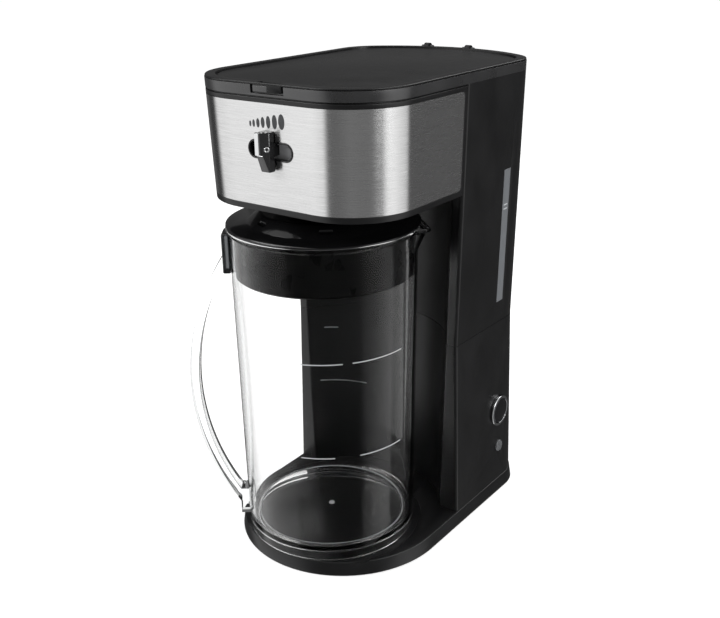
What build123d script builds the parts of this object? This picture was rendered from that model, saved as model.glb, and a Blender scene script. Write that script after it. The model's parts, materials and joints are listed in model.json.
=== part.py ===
"""Iced tea maker: countertop brewer with a lift-up reservoir lid and a slide-out clear jug.

Frame: origin on the table under the centre of the base, +Z up, +X to the machine's right seen
from its front, -Y to the front. Millimetres. Each function builds one piece that comes apart
on a bench, and each piece is written to its own STEP file.
"""
from build123d import *
from dataclasses import dataclass, fields
from math import atan2, cos, degrees, radians, sin, sqrt
import os

# ---- levels above the table, and the heights of the bands between them
FOOT_PROUD = 1.0
BASE_TOP_Z = 10.7
SEAM_Z = 143.1
TOP_Z = 331.0
HEAD_HEIGHT = 79.5
LID_BAND = 7.8
STEEL_TOP_BAND = 3.9
STEEL_LOW_BAND = 4.1
FRAME_Z = TOP_Z - LID_BAND
STEEL_TOP_Z = FRAME_Z - STEEL_TOP_BAND
HEAD_FLOOR_Z = TOP_Z - HEAD_HEIGHT
STEEL_BOTTOM_Z = HEAD_FLOOR_Z + STEEL_LOW_BAND

# ---- plan of the casing: half widths, front and back faces at the main levels
TOP_HALF_WIDTH = 76.4
SEAM_HALF_WIDTH = 71.5
FOOT_HALF_WIDTH = 75.1
HEAD_FRONT_Y = -104.2
HEAD_FRONT_DRAFT = 0.025
BACK_TOP_Y = 114.0
BACK_SEAM_Y = 111.9
BACK_FOOT_Y = 115.3
FRONT_CORNER_R = 44.4
BACK_CORNER_R = 30.0
BACK_BOW_R = 110.0
BASE_FRONT_Y = -112.3
BASE_FLARE = 1.5
BASE_LEDGE = 0.5

# ---- walls and general clearances
WALL = 2.6
SKIN_GAP = 0.15
SEAM_GAP = 0.3
PART_GAP = 0.3
RUNNING_CLEARANCE = 0.05
LIP_DEPTH = 6.0
LIP_HEIGHT = 3.5
LIP_OVERLAP = 0.5

# ---- bay where the jug stands
JUG_Y = -53.5
BAY_R = 69.0
BAY_FOOT_Y = -34.5
BAY_SEAM_Y = -27.5
PILLAR_Y = 0.2
PILLAR_EDGE_R = 2.2

# ---- head: steel wrap, strength slot, lid
STEEL_T = 0.6
STEEL_END_Y = -3.5
STEEL_CORNER_R = 3.0
FRONT_FEATURE_X = 1.0
SLOT_DROP = 28.3
SLOT_Z = STEEL_TOP_Z - SLOT_DROP
SLOT_LENGTH = 36.0
SLOT_HEIGHT = 12.0
BEZEL_RIM = 1.2
BEZEL_PROUD = 0.5
LEVER_X = FRONT_FEATURE_X
LEVER_WIDTH = 8.0
LEVER_HEIGHT = 24.0
LEVER_PROUD = 8.5
NECK_WIDTH = 7.0
NECK_HEIGHT = 6.0
LEVER_WAIST = 1.5
LEVER_STEP = 1.0
LEVER_FOOT_PROUD = 5.0
LEVER_FOOT_INSET = 1.5
LEVER_BEVEL = 3.8
SHUTTER_T = 2.0
SHUTTER_HALF_W = 14.0
SHUTTER_HALF_H = 9.0
SHUTTER_ARM = 14.0
SHADOW_GAP = 0.7
SHADOW_DEPTH = 1.2
FRAME_T = 3.0
FRAME_LEDGE_T = 2.0
DECK_T = 2.0
FILL_HALF_W = 52.0
FILL_INSET = 6.0
FILL_BACK_Y = 90.0
FILL_CORNER_R = 12.0
FILL_LIP_T = 1.5
FILL_LIP_DROP = 10.0
LID_RIM_T = 1.1
LID_PLATE_T = 2.1
LID_RIM_WIDTH = 7.0
LID_RECESS = 1.0
LID_GROOVE = 1.8
LID_GROOVE_DEPTH = 0.8
TAB_WIDTH = 22.0
TAB_FACE = 12.0
TAB_DROP = 5.4
TAB_PROUD = 1.8
TAB_BACK = 1.7
TAB_POCKET = 2.2
HINGE_XS = (-28.0, 8.0)
HINGE_DROP = 1.4
HINGE_Y = BACK_TOP_Y - PART_GAP
HINGE_Z = TOP_Z - HINGE_DROP
KNUCKLE_R = 3.4
KNUCKLE_WIDTH = 4.0
KNUCKLE_ROOT = 5.2
CHEEK_R = 1.9
CHEEK_WIDTH = 2.5
CHEEK_DEPTH = 6.0
PIN_HOLD = 0.02
PIN_R = 0.9

# ---- water system
TANK_SEAT = 6.9
TANK_HEADROOM = 5.7
TANK_FLOOR_Z = SEAM_Z + TANK_SEAT
TANK_TOP_Z = FRAME_Z - TANK_HEADROOM
TANK_WALL = 2.0
TANK_GAP = 1.2
SHELF_T = 2.0
WINDOW_Y = 59.1
WINDOW_WIDTH = 8.6
WINDOW_RISE = 9.5
WINDOW_OVERRUN = 6.5
WINDOW_Z0 = TANK_FLOOR_Z + WINDOW_RISE
WINDOW_Z1 = HEAD_FLOOR_Z + WINDOW_OVERRUN
OUTLET_X = -28.0
OUTLET_Y = 81.5
OUTLET_R = 4.0
SPIGOT_LENGTH = 10.0
SPIGOT_WALL = 1.2
SEAL_R = 6.5
SEAL_FLANGE = 1.5
HOSE_WALL = 1.5
HOSE_R = 4.5
HOSE_BORE_R = 3.0
RISER_X = 45.0
RISER_Y = 42.5
RISER_RISE = 10.5
RISER_TOP_Z = HEAD_FLOOR_Z + RISER_RISE
RISER_BEND_Z = 40.0
RISER_STRAIGHT_Z = 65.0
SPRAY_R = 34.0
SPRAY_T = 4.5
SPRAY_CHAMBER_R = 18.0
SPRAY_HOLE_R = 1.0
SPRAY_HOLES = 8
HEATER_STANDOFF = 3.3
HEATER_Z = BASE_TOP_Z + HEATER_STANDOFF
HEATER_T = 13.0
HEATER_BAR = 15.0
HEATER_Y = 73.5
HEATER_LEG = 20.0
HEATER_SPACING = 56.0
TUBE_R = 5.0
TUBE_BORE_R = 3.6
TUBE_LEAD = 4.0
HOSE_BEND = 7.0
HOSE_TURN_Y = 41.5
HOSE_BEND_Z = 28.0
HOSE_CROSS_Z = 20.0
THERMOSTAT_R = 6.0
THERMOSTAT_Y = 63.0
THERMOSTAT_T = 6.0
THERMOSTAT_CAP_T = 3.0
THERMOSTAT_CAP_R = 4.0
CLIP_HALF_W = 2.0
CLIP_T = 1.0
CLIP_HALF_H = 3.0
VALVE_R = 7.0
VALVE_LENGTH = 22.0
VALVE_DROP = 54.0
VALVE_Z = TANK_FLOOR_Z - VALVE_DROP
VALVE_STUB = 8.0

# ---- controls on the right side of the column
BUTTON_Y = 62.1
LENS_RISE = 28.3
BUTTON_RISE = 30.0
LENS_Z = BASE_TOP_Z + LENS_RISE
BUTTON_Z = LENS_Z + BUTTON_RISE
BEZEL_R = 12.0
BEZEL_BARREL_R = 11.0
BUTTON_R = 9.6
BUTTON_TRAVEL = 2.0
STEM_R = 3.0
SWITCH_HALF_W = 12.0
SWITCH_HALF_H = 13.0
BLADE_SPREAD = 6.0
BLADE_LENGTH = 8.0
BLADE_HALF_T = 0.4
BLADE_HALF_W = 3.0
LENS_R = 4.6
LENS_OUT = 1.2
BEZEL_OUT = 1.6
BUTTON_T = 6.0
STEM_ENTRY = 6.0
SWITCH_X0 = 38.0
SWITCH_X1 = 56.0
LAMP_R = 3.0
LAMP_LENGTH = 10.0
LAMP_LEAD = 8.0
LAMP_LEAD_SPREAD = 1.2
LAMP_LEAD_R = 0.4
TERMINAL_X = 54.0
TERMINAL_Y = 80.0
TERMINAL_HALF_L = 11.0
TERMINAL_HALF_W = 6.0
TERMINAL_T = 12.0
TERMINAL_PITCH = 7.0
TERMINAL_HOLE_R = 1.8
TERMINAL_HOLE_DEPTH = 6.0
WIRE_R = 1.1
WIRE_BEND = 4.0
WIRE_TURN = 8.0
WIRE_DROP = 20.0

# ---- jug and what it carries, radii and heights from the jug's own axis and the table
JUG_HEADROOM = 16.1
JUG_BEAD = 3.6
JUG_FOOT_DEPTH = 9.0
JUG_FOOT_Z = BASE_TOP_Z + PART_GAP
JUG_FLOOR_Z = JUG_FOOT_Z + JUG_FOOT_DEPTH
JUG_RIM_Z = HEAD_FLOOR_Z - JUG_HEADROOM
JUG_NECK_Z = JUG_RIM_Z - JUG_BEAD
JUG_FLOOR_T = 3.0
JUG_FOOT_R = 60.1
JUG_NECK_R = 62.8
JUG_RIM_R = 64.6
JUG_WALL = 2.2
JUG_FLOOR_FILLET = 5.0
SPOUT_ANGLE = 28.0
SPOUT_REACH = 71.0
SPOUT_DROP = 3.4
SPOUT_WIDTH = 20.0
SPOUT_DEPTH = 14.0
HANDLE_ANGLE = 217.0
HANDLE_BOW_DEPTH = 32.26865
HANDLE_REACH = 95.5
HANDLE_SAG = 1.75
HANDLE_T = 6.0
HANDLE_WIDTH = 12.0
HANDLE_END_RISE = 6.0
HANDLE_END_DROP = 12.0
BRACKET_DROP = 2.3
BRACKET_HEIGHT = 28.5
BRACKET_REACH = 67.2
LUG_RISE = 5.0
LUG_HEIGHT = 21.0
LUG_Z0 = JUG_FOOT_Z + LUG_RISE
LUG_Z1 = LUG_Z0 + LUG_HEIGHT
BRACKET_Z1 = JUG_NECK_Z - BRACKET_DROP
BRACKET_Z0 = BRACKET_Z1 - BRACKET_HEIGHT
HANDLE_MID_Z = (LUG_Z0 + BRACKET_Z1) / 2 - HANDLE_SAG
HANDLE_Z0 = LUG_Z0 + HANDLE_END_RISE
HANDLE_Z1 = BRACKET_Z1 - HANDLE_END_DROP
HANDLE_HALF_SPAN = HANDLE_MID_Z - HANDLE_Z0
HANDLE_BOW_R = (HANDLE_HALF_SPAN**2 + HANDLE_BOW_DEPTH**2) / (2 * HANDLE_BOW_DEPTH)
BASKET_DEPTH = 30.1
BASKET_Z = JUG_NECK_Z - BASKET_DEPTH
BASKET_WALL = 1.6
BASKET_GAP = 0.6
BASKET_FLANGE_T = 1.5
DRAIN_COUNT = 6
DRAIN_RING_R = 12.0
DRAIN_R = 2.5
FILTER_WALL = 0.8
FILTER_FOOT_R = 40.0
LID_GAP = 0.4
LID_RING_T = 1.6
LID_SEAT_GAP = 0.1
LID_RING_INSET = 0.2
PLUG_T = 4.0
DOME_R = 50.0
DOME_TOP_R = 42.0
DOME_RISE = 9.1
DOME_TOP_Z = JUG_RIM_Z + DOME_RISE
INLET_R = 15.0
VENT_COUNT = 6
VENT_ANGLE = 11.0
VENT_LENGTH = 9.0
VENT_WIDTH = 2.6
SEAT_GROOVE_R = 64.0
SEAT_GROOVE_WIDTH = 2.0
SEAT_GROOVE_DEPTH = 0.8

# ---- feet and screws
FOOT_R = 7.0
FOOT_RECESS = 1.0
FRONT_FOOT = (52.0, -62.0)
REAR_FOOT = (54.0, 78.0)
COVER_T = 2.0
SCREW_R = 1.5
SCREW_HEAD_R = 3.0
SCREW_LENGTH = 6.0
SCREW_CROSS = 3.2
SCREW_CROSS_W = 0.7
SCREW_CROSS_DEPTH = 0.4
BOSS_R = 4.0
BOSSES = ((34.0, -84.0), (62.0, 20.0), (34.0, 92.0))
COVER_VENTS = 5
COVER_VENT_PITCH = 7.0
COVER_VENT_LENGTH = 24.0
COVER_VENT_WIDTH = 2.4
COVER_VENT_Y = 60.0
GLAND_X = 0.0
GLAND_RISE = 41.3
GLAND_Z = BASE_TOP_Z + GLAND_RISE
GLAND_R = 6.0
GLAND_OUT = 3.5
GLAND_INNER = 6.0
GLAND_FLANGE = 2.0
GLAND_SHADOW = 1.2
CORD_BORE_R = 3.3

FAR = 400.0


# ---------------------------------------------------------------------------------------------
# plan outlines and tapered bodies
# ---------------------------------------------------------------------------------------------
@dataclass(frozen=True)
class Plan:
    """Outline seen from above: straight front, round corners, straight sides, bowed back."""

    half_w: float
    front: float
    back: float
    r_front: float
    r_back: float
    r_bow: float

    def inset(self, gap):
        """The same outline moved inwards by gap all round."""
        return Plan(self.half_w - gap, self.front + gap, self.back - gap,
                    self.r_front - gap, self.r_back - gap, self.r_bow - gap)

    def mix(self, other, share):
        """The outline that lies share of the way to another one."""
        values = [getattr(self, f.name) * (1 - share) + getattr(other, f.name) * share
                  for f in fields(self)]
        return Plan(*values)

    def wire(self, z):
        """The closed outline at height z."""
        half = sqrt(0.5)
        cx = self.half_w - self.r_front
        cy = self.front + self.r_front
        bx = self.half_w - self.r_back
        bow_y = self.back - self.r_bow
        by = bow_y + sqrt((self.r_bow - self.r_back) ** 2 - bx ** 2)
        turn = atan2(by - bow_y, bx)
        tangent = (self.r_bow * cos(turn), bow_y + self.r_bow * sin(turn))
        mid = (bx + self.r_back * cos(turn / 2), by + self.r_back * sin(turn / 2))
        rf = self.r_front

        def line(a, b):
            return Edge.make_line((*a, z), (*b, z))

        def arc(a, m, b):
            return Edge.make_three_point_arc((*a, z), (*m, z), (*b, z))

        def flip(p):
            return (-p[0], p[1])

        start, side, high = (cx, self.front), (self.half_w, cy), (self.half_w, by)
        corner = (cx + rf * half, cy - rf * half)
        edges = [line(flip(start), start)] if cx > 0.01 else []
        if cx > 0.01:
            edges.append(arc(start, corner, side))
        else:
            edges.append(arc(flip(side), (0, self.front), side))
        edges += [line(side, high), arc(high, mid, tangent),
                  arc(tangent, (0, self.back), flip(tangent)),
                  arc(flip(tangent), flip(mid), flip(high)), line(flip(high), flip(side))]
        if cx > 0.01:
            edges.append(arc(flip(side), flip(corner), flip(start)))
        return Wire(edges)


@dataclass(frozen=True)
class Taper:
    """A casing whose outline runs straight from one level to another."""

    z_low: float
    low: Plan
    z_high: float
    high: Plan

    def at(self, z):
        """The outline at height z."""
        return self.low.mix(self.high, (z - self.z_low) / (self.z_high - self.z_low))

    def solid(self, z0, z1, inset=0.0):
        """The casing between two heights, moved inwards by inset."""
        wires = [self.at(z).inset(inset).wire(z) for z in (z0, z1)]
        return Solid.make_loft(wires, ruled=True)


def casing_plan(half_w, front, back):
    return Plan(half_w, front, back, FRONT_CORNER_R, BACK_CORNER_R, BACK_BOW_R)


def base_plan(half_w, front, back):
    return Plan(half_w, front, back, half_w, BACK_CORNER_R, BACK_BOW_R)


SEAM_FRONT_Y = HEAD_FRONT_Y + HEAD_FRONT_DRAFT * (TOP_Z - SEAM_Z)
SEAM_PLAN = casing_plan(SEAM_HALF_WIDTH, SEAM_FRONT_Y, BACK_SEAM_Y)
UPPER = Taper(SEAM_Z, SEAM_PLAN, TOP_Z, casing_plan(TOP_HALF_WIDTH, HEAD_FRONT_Y, BACK_TOP_Y))
LOWER = Taper(BASE_TOP_Z, casing_plan(FOOT_HALF_WIDTH, SEAM_FRONT_Y, BACK_FOOT_Y), SEAM_Z, SEAM_PLAN)
BASE_HALF_WIDTH = FOOT_HALF_WIDTH + BASE_LEDGE
BASE = Taper(
    FOOT_PROUD,
    base_plan(BASE_HALF_WIDTH + BASE_FLARE, BASE_FRONT_Y - BASE_FLARE,
              BACK_FOOT_Y + BASE_LEDGE + BASE_FLARE),
    BASE_TOP_Z,
    base_plan(BASE_HALF_WIDTH, BASE_FRONT_Y, BACK_FOOT_Y + BASE_LEDGE),
)


# ---------------------------------------------------------------------------------------------
# small helpers
# ---------------------------------------------------------------------------------------------
def box(x0, x1, y0, y1, z0, z1):
    """A block between two corners."""
    block = Box(x1 - x0, y1 - y0, z1 - z0)
    return Pos((x0 + x1) / 2, (y0 + y1) / 2, (z0 + z1) / 2) * block


def rod(x, y, z0, z1, r):
    """An upright cylinder."""
    return Pos(x, y, (z0 + z1) / 2) * Cylinder(r, z1 - z0)


def rod_x(x0, x1, y, z, r):
    """A cylinder along X."""
    return Pos((x0 + x1) / 2, y, z) * Rot(0, 90, 0) * Cylinder(r, x1 - x0)


def rod_y(x, y0, y1, z, r):
    """A cylinder along Y."""
    return Pos(x, (y0 + y1) / 2, z) * Rot(90, 0, 0) * Cylinder(r, y1 - y0)


def behind(y):
    """Everything at and behind y."""
    return box(-FAR, FAR, y, FAR, -FAR, FAR)


def in_front(y):
    """Everything in front of y."""
    return box(-FAR, FAR, -FAR, y, -FAR, FAR)


def turned(points, x=0.0, y=0.0):
    """A solid of revolution about an upright axis from (radius, height) points."""
    face = make_face(Polyline([(r, 0, z) for r, z in points], close=True))
    return Pos(x, y, 0) * revolve(face, Axis.Z)


def on_jug(shape, angle):
    """Place a shape made along +X of the jug's axis at an angle round the jug."""
    return Pos(0, JUG_Y, 0) * Rot(0, 0, angle) * shape


def bay_y(z):
    """Where the bay's axis lies at height z; the bay leans back as it rises."""
    return BAY_FOOT_Y + (BAY_SEAM_Y - BAY_FOOT_Y) * (z - BASE_TOP_Z) / (SEAM_Z - BASE_TOP_Z)


def bay(extra=0.0):
    """The cylinder that hollows the front of the column, made wider by extra."""
    mid = (BASE_TOP_Z + HEAD_FLOOR_Z) / 2
    lean = degrees(atan2(bay_y(HEAD_FLOOR_Z) - bay_y(BASE_TOP_Z), HEAD_FLOOR_Z - BASE_TOP_Z))
    return Pos(0, bay_y(mid), mid) * Rot(-lean, 0, 0) * Cylinder(BAY_R + extra, FAR)


TANK_FRONT_Y = bay_y(HEAD_FLOOR_Z) + BAY_R + WALL + TANK_GAP


def column(taper, z0, z1, inset=0.0):
    """The rear column between two heights, moved inwards by inset on every side."""
    body = taper.solid(z0, z1, inset) & behind(PILLAR_Y + inset)
    return body - bay(inset)


def hose(points, r, bore, bend):
    """A tube of straight runs joined by round bends."""
    path = FilletPolyline(*points, radius=bend)
    start = Plane(origin=path @ 0, z_dir=path % 0)
    return sweep(start * Circle(r) - start * Circle(bore), path=path)


def upright_edges(shape, y, tolerance, length):
    """The long edges of a shape that stand close to the plane at y."""
    return [e for e in shape.edges()
            if abs(e.center().Y - y) < tolerance and abs((e @ 1 - e @ 0).Z) > length]


# ---------------------------------------------------------------------------------------------
# base
# ---------------------------------------------------------------------------------------------
FEET_XY = [(side * x, y) for x, y in (FRONT_FOOT, REAR_FOOT) for side in (-1, 1)]
BOSS_XY = [(side * x, y) for x, y in BOSSES for side in (-1, 1)]


def base_tray():
    shell = BASE.solid(FOOT_PROUD, BASE_TOP_Z)
    rim = [e for e in shell.edges() if abs(e.center().Z - BASE_TOP_Z) < 0.01]
    shell = fillet(rim, BASE_LEDGE)
    roof = BASE_TOP_Z - WALL
    shell -= BASE.solid(FOOT_PROUD - 1, roof, WALL)
    groove = rod(0, JUG_Y, BASE_TOP_Z - SEAT_GROOVE_DEPTH, FAR, SEAT_GROOVE_R + SEAT_GROOVE_WIDTH)
    groove -= rod(0, JUG_Y, 0, 2 * FAR, SEAT_GROOVE_R)
    shell -= groove & in_front(PILLAR_Y)
    cover_top = FOOT_PROUD + COVER_T
    for x, y in BOSS_XY:
        shell += rod(x, y, cover_top, roof + 0.5, BOSS_R)
        shell -= rod(x, y, 0, cover_top + SCREW_LENGTH - COVER_T, SCREW_R)
    for x in (-HEATER_SPACING / 2, HEATER_SPACING / 2):
        shell += rod(x, HEATER_Y, BASE_TOP_Z - 0.5, HEATER_Z, BOSS_R)
    return shell


def base_cover():
    plan_gap = WALL + SKIN_GAP
    plate = BASE.solid(FOOT_PROUD, FOOT_PROUD + COVER_T, plan_gap)
    for x, y in BOSS_XY:
        plate -= rod(x, y, 0, FAR, SCREW_R)
        plate -= rod(x, y, 0, FOOT_PROUD + COVER_T / 2, SCREW_HEAD_R)
    for x, y in FEET_XY:
        plate -= rod(x, y, 0, FOOT_PROUD + FOOT_RECESS, FOOT_R)
    vent = extrude(SlotOverall(COVER_VENT_LENGTH, COVER_VENT_WIDTH, rotation=90), COVER_T)
    for i in range(COVER_VENTS):
        x = (i - (COVER_VENTS - 1) / 2) * COVER_VENT_PITCH
        plate -= Pos(x, COVER_VENT_Y, FOOT_PROUD) * vent
    return plate


def rubber_feet():
    feet = []
    for x, y in FEET_XY:
        foot = rod(x, y, 0, FOOT_PROUD + FOOT_RECESS, FOOT_R)
        feet.append(chamfer(foot.edges().sort_by(Axis.Z)[0], FOOT_PROUD / 2))
    return feet


def base_screws():
    screws = []
    seat = FOOT_PROUD + COVER_T / 2
    for x, y in BOSS_XY:
        screw = rod(x, y, seat, FOOT_PROUD + SCREW_LENGTH, SCREW_R)
        screw += rod(x, y, FOOT_PROUD, seat, SCREW_HEAD_R - SKIN_GAP)
        for length, width in ((SCREW_CROSS, SCREW_CROSS_W), (SCREW_CROSS_W, SCREW_CROSS)):
            screw -= Pos(x, y, FOOT_PROUD) * Box(length, width, 2 * SCREW_CROSS_DEPTH)
        screws.append(screw)
    return screws


# ---------------------------------------------------------------------------------------------
# casing
# ---------------------------------------------------------------------------------------------
def round_pillars(shape, z0, z1):
    """Soften the column's upright front edges."""
    return fillet(upright_edges(shape, PILLAR_Y, 0.6, 0.6 * (z1 - z0)), PILLAR_EDGE_R)


def lower_housing():
    top = SEAM_Z - SEAM_GAP
    shell = round_pillars(column(LOWER, BASE_TOP_Z, top), BASE_TOP_Z, top)
    shell -= column(LOWER, BASE_TOP_Z - 1, top + 1, WALL)
    lip = column(LOWER, top - LIP_DEPTH, top, WALL - LIP_OVERLAP)
    lip += column(UPPER, top, top + LIP_HEIGHT, WALL + SKIN_GAP)
    lip -= column(LOWER, top - LIP_DEPTH - 1, top + LIP_HEIGHT + 1, 2 * WALL)
    shell += lip
    shell -= rod_x(50, FAR, BUTTON_Y, BUTTON_Z, BEZEL_BARREL_R + SKIN_GAP)
    shell -= rod_x(50, FAR, BUTTON_Y, LENS_Z, LENS_R + SKIN_GAP)
    shell -= rod_y(GLAND_X, back_at(GLAND_X, GLAND_Z) - 3 * WALL, FAR, GLAND_Z, GLAND_R + SKIN_GAP)
    return shell


def upper_housing():
    below_head = box(-FAR, FAR, -FAR, FAR, -FAR, HEAD_FLOOR_Z)
    shell = (UPPER.solid(SEAM_Z, FRAME_Z) & behind(PILLAR_Y)) - (bay() & below_head)
    shell = round_pillars(shell, SEAM_Z, HEAD_FLOOR_Z)
    core = UPPER.solid(SEAM_Z - 1, FRAME_Z + 1, WALL) & behind(PILLAR_Y - 1)
    core -= below_head & in_front(PILLAR_Y + WALL)
    core -= below_head & bay(WALL)
    shell -= core
    shelf = column(UPPER, TANK_FLOOR_Z - SHELF_T, TANK_FLOOR_Z, WALL - LIP_OVERLAP)
    shelf -= rod(RISER_X, RISER_Y, 0, FAR, HOSE_R + 1)
    shelf -= rod(OUTLET_X, OUTLET_Y, 0, FAR, SEAL_R)
    return shell + shelf - window_cut(SKIN_GAP)


def window_cut(gap=0.0):
    """The slot for the water window through the right wall."""
    half = WINDOW_WIDTH / 2 + gap
    return box(SEAM_HALF_WIDTH - 12, FAR, WINDOW_Y - half, WINDOW_Y + half,
               WINDOW_Z0 - gap, WINDOW_Z1 + gap)


def water_window():
    strip = UPPER.solid(WINDOW_Z0 - 1, WINDOW_Z1 + 1) - UPPER.solid(WINDOW_Z0 - 2, WINDOW_Z1 + 2, WALL)
    return strip & window_cut()


def steel_outline(gap):
    """Side view of the steel wrap as a block: square at the front, round corners at the rear."""
    z0, z1 = STEEL_BOTTOM_Z - gap, STEEL_TOP_Z + gap
    height = z1 - z0
    block = box(-FAR / 2, FAR / 2, HEAD_FRONT_Y - 20, STEEL_END_Y + gap, z0, z1)
    rear = [e for e in block.edges() if abs(e.center().Y - STEEL_END_Y - gap) < 0.01
            and abs(e.center().X) < 0.01 and e.length > height]
    return fillet(rear, STEEL_CORNER_R + gap)


def slot_block(length, height, y0, y1):
    """A pill-shaped block through the head's front."""
    face = Plane.XZ * Pos(FRONT_FEATURE_X, SLOT_Z) * SlotOverall(length, height)
    return Pos(0, y1, 0) * extrude(face, y1 - y0)


def steel_panel():
    low, high = STEEL_BOTTOM_Z - 2, STEEL_TOP_Z + 2
    skin = UPPER.solid(low, high) - UPPER.solid(low - 1, high + 1, STEEL_T)
    skin &= steel_outline(0.0)
    return skin - slot_block(SLOT_LENGTH, SLOT_HEIGHT, HEAD_FRONT_Y - 10, HEAD_FRONT_Y + 20)


def head_shell():
    top = FRAME_Z - SEAM_GAP
    split = PILLAR_Y - SEAM_GAP
    shell = UPPER.solid(HEAD_FLOOR_Z, top) & in_front(split)
    shell -= UPPER.solid(HEAD_FLOOR_Z + WALL, top + 1, WALL + STEEL_T)
    recess = UPPER.solid(STEEL_BOTTOM_Z - 3, STEEL_TOP_Z + 3)
    recess -= UPPER.solid(STEEL_BOTTOM_Z - 4, STEEL_TOP_Z + 4, STEEL_T + RUNNING_CLEARANCE)
    shell -= recess & steel_outline(SKIN_GAP)
    tongue = rod(0, bay_y(HEAD_FLOOR_Z), HEAD_FLOOR_Z, HEAD_FLOOR_Z + WALL, BAY_R - PART_GAP)
    shell += tongue & behind(split - 1)
    shell -= rod(0, JUG_Y, HEAD_FLOOR_Z - 1, HEAD_FLOOR_Z + WALL + 1, HOSE_R + PART_GAP)
    shell -= slot_block(SLOT_LENGTH - 1, SLOT_HEIGHT - 1, HEAD_FRONT_Y - 10, HEAD_FRONT_Y + 20)
    rebate = UPPER.solid(top - SHADOW_GAP, top + 1) - UPPER.solid(top - SHADOW_GAP, top + 1, SHADOW_DEPTH)
    shell -= rebate & in_front(split)
    return shell


def slot_front_y():
    """The steel's face in the middle of the strength slot."""
    return UPPER.at(SLOT_Z).front


def slot_bezel():
    front = slot_front_y()
    ring = slot_block(SLOT_LENGTH - 1 - 2 * SKIN_GAP, SLOT_HEIGHT - 1 - 2 * SKIN_GAP,
                      front - BEZEL_PROUD, front + STEEL_T + WALL)
    ring += slot_block(SLOT_LENGTH - 2 * SKIN_GAP, SLOT_HEIGHT - 2 * SKIN_GAP,
                       front - BEZEL_PROUD, front + STEEL_T / 2)
    opening_length = SLOT_LENGTH - 2 * BEZEL_RIM
    return ring - slot_block(opening_length, SLOT_HEIGHT - 2 * BEZEL_RIM, front - 5, front + 9)


def top_frame():
    low, high = FRAME_Z, HINGE_Z
    ring = UPPER.solid(low, high) - UPPER.solid(low + FRAME_LEDGE_T, high + 1, FRAME_T)
    ring -= UPPER.solid(low - 1, low + FRAME_LEDGE_T + 1, 4 * FRAME_T)
    notch_half = TAB_WIDTH / 2 + 2
    front = UPPER.at(high).front
    ring -= box(FRONT_FEATURE_X - notch_half, FRONT_FEATURE_X + notch_half,
                front - FRAME_T, front + TAB_POCKET, TOP_Z - TAB_DROP - 1, FAR)
    pin_half = KNUCKLE_WIDTH / 2 + PART_GAP + CHEEK_WIDTH
    for x in HINGE_XS:
        ring -= rod_x(x - KNUCKLE_WIDTH / 2 - PART_GAP, x + KNUCKLE_WIDTH / 2 + PART_GAP,
                      HINGE_Y, HINGE_Z, KNUCKLE_R + PART_GAP)
        for side in (-1, 1):
            inner = x + side * (KNUCKLE_WIDTH / 2 + PART_GAP)
            outer = inner + side * CHEEK_WIDTH
            x0, x1 = min(inner, outer), max(inner, outer)
            ring += rod_x(x0, x1, HINGE_Y, HINGE_Z, CHEEK_R)
            ring += box(x0, x1, HINGE_Y - CHEEK_R, HINGE_Y + CHEEK_R, FRAME_Z + 1, HINGE_Z)
            reach = UPPER.at(FRAME_Z).back - HINGE_Y
            ring += box(x0, x1, HINGE_Y - CHEEK_DEPTH, HINGE_Y + min(CHEEK_R, reach),
                        FRAME_Z + 1, HINGE_Z - CHEEK_R)
        ring -= rod_x(x - pin_half, x + pin_half, HINGE_Y, HINGE_Z, PIN_R + PIN_HOLD)
    return ring


def fill_block(grow, z0, z1):
    """The filling hole over the reservoir as a block, made wider by grow."""
    half = FILL_HALF_W + grow
    y0, y1 = TANK_FRONT_Y + FILL_INSET - grow, FILL_BACK_Y + grow
    block = box(-half, half, y0, y1, z0, z1)
    return fillet(block.edges().filter_by(Axis.Z), FILL_CORNER_R + grow)


def fill_deck():
    """The plate under the lid, with a lipped hole that guides water into the reservoir."""
    low = FRAME_Z + FRAME_LEDGE_T
    deck = UPPER.solid(low, low + DECK_T, FRAME_T + 2 * PART_GAP)
    deck += fill_block(FILL_LIP_T, low - FILL_LIP_DROP, low + DECK_T)
    for x in HINGE_XS:
        half = KNUCKLE_WIDTH / 2 + CHEEK_WIDTH + 2 * PART_GAP
        deck -= box(x - half, x + half, HINGE_Y - CHEEK_DEPTH - PART_GAP, FAR, low - 1, FAR)
    return deck - fill_block(0.0, low - FILL_LIP_DROP - 1, low + DECK_T + 1)


def hinge_pins():
    half = KNUCKLE_WIDTH / 2 + PART_GAP + CHEEK_WIDTH
    return [rod_x(x - half, x + half, HINGE_Y, HINGE_Z, PIN_R) for x in HINGE_XS]


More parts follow.
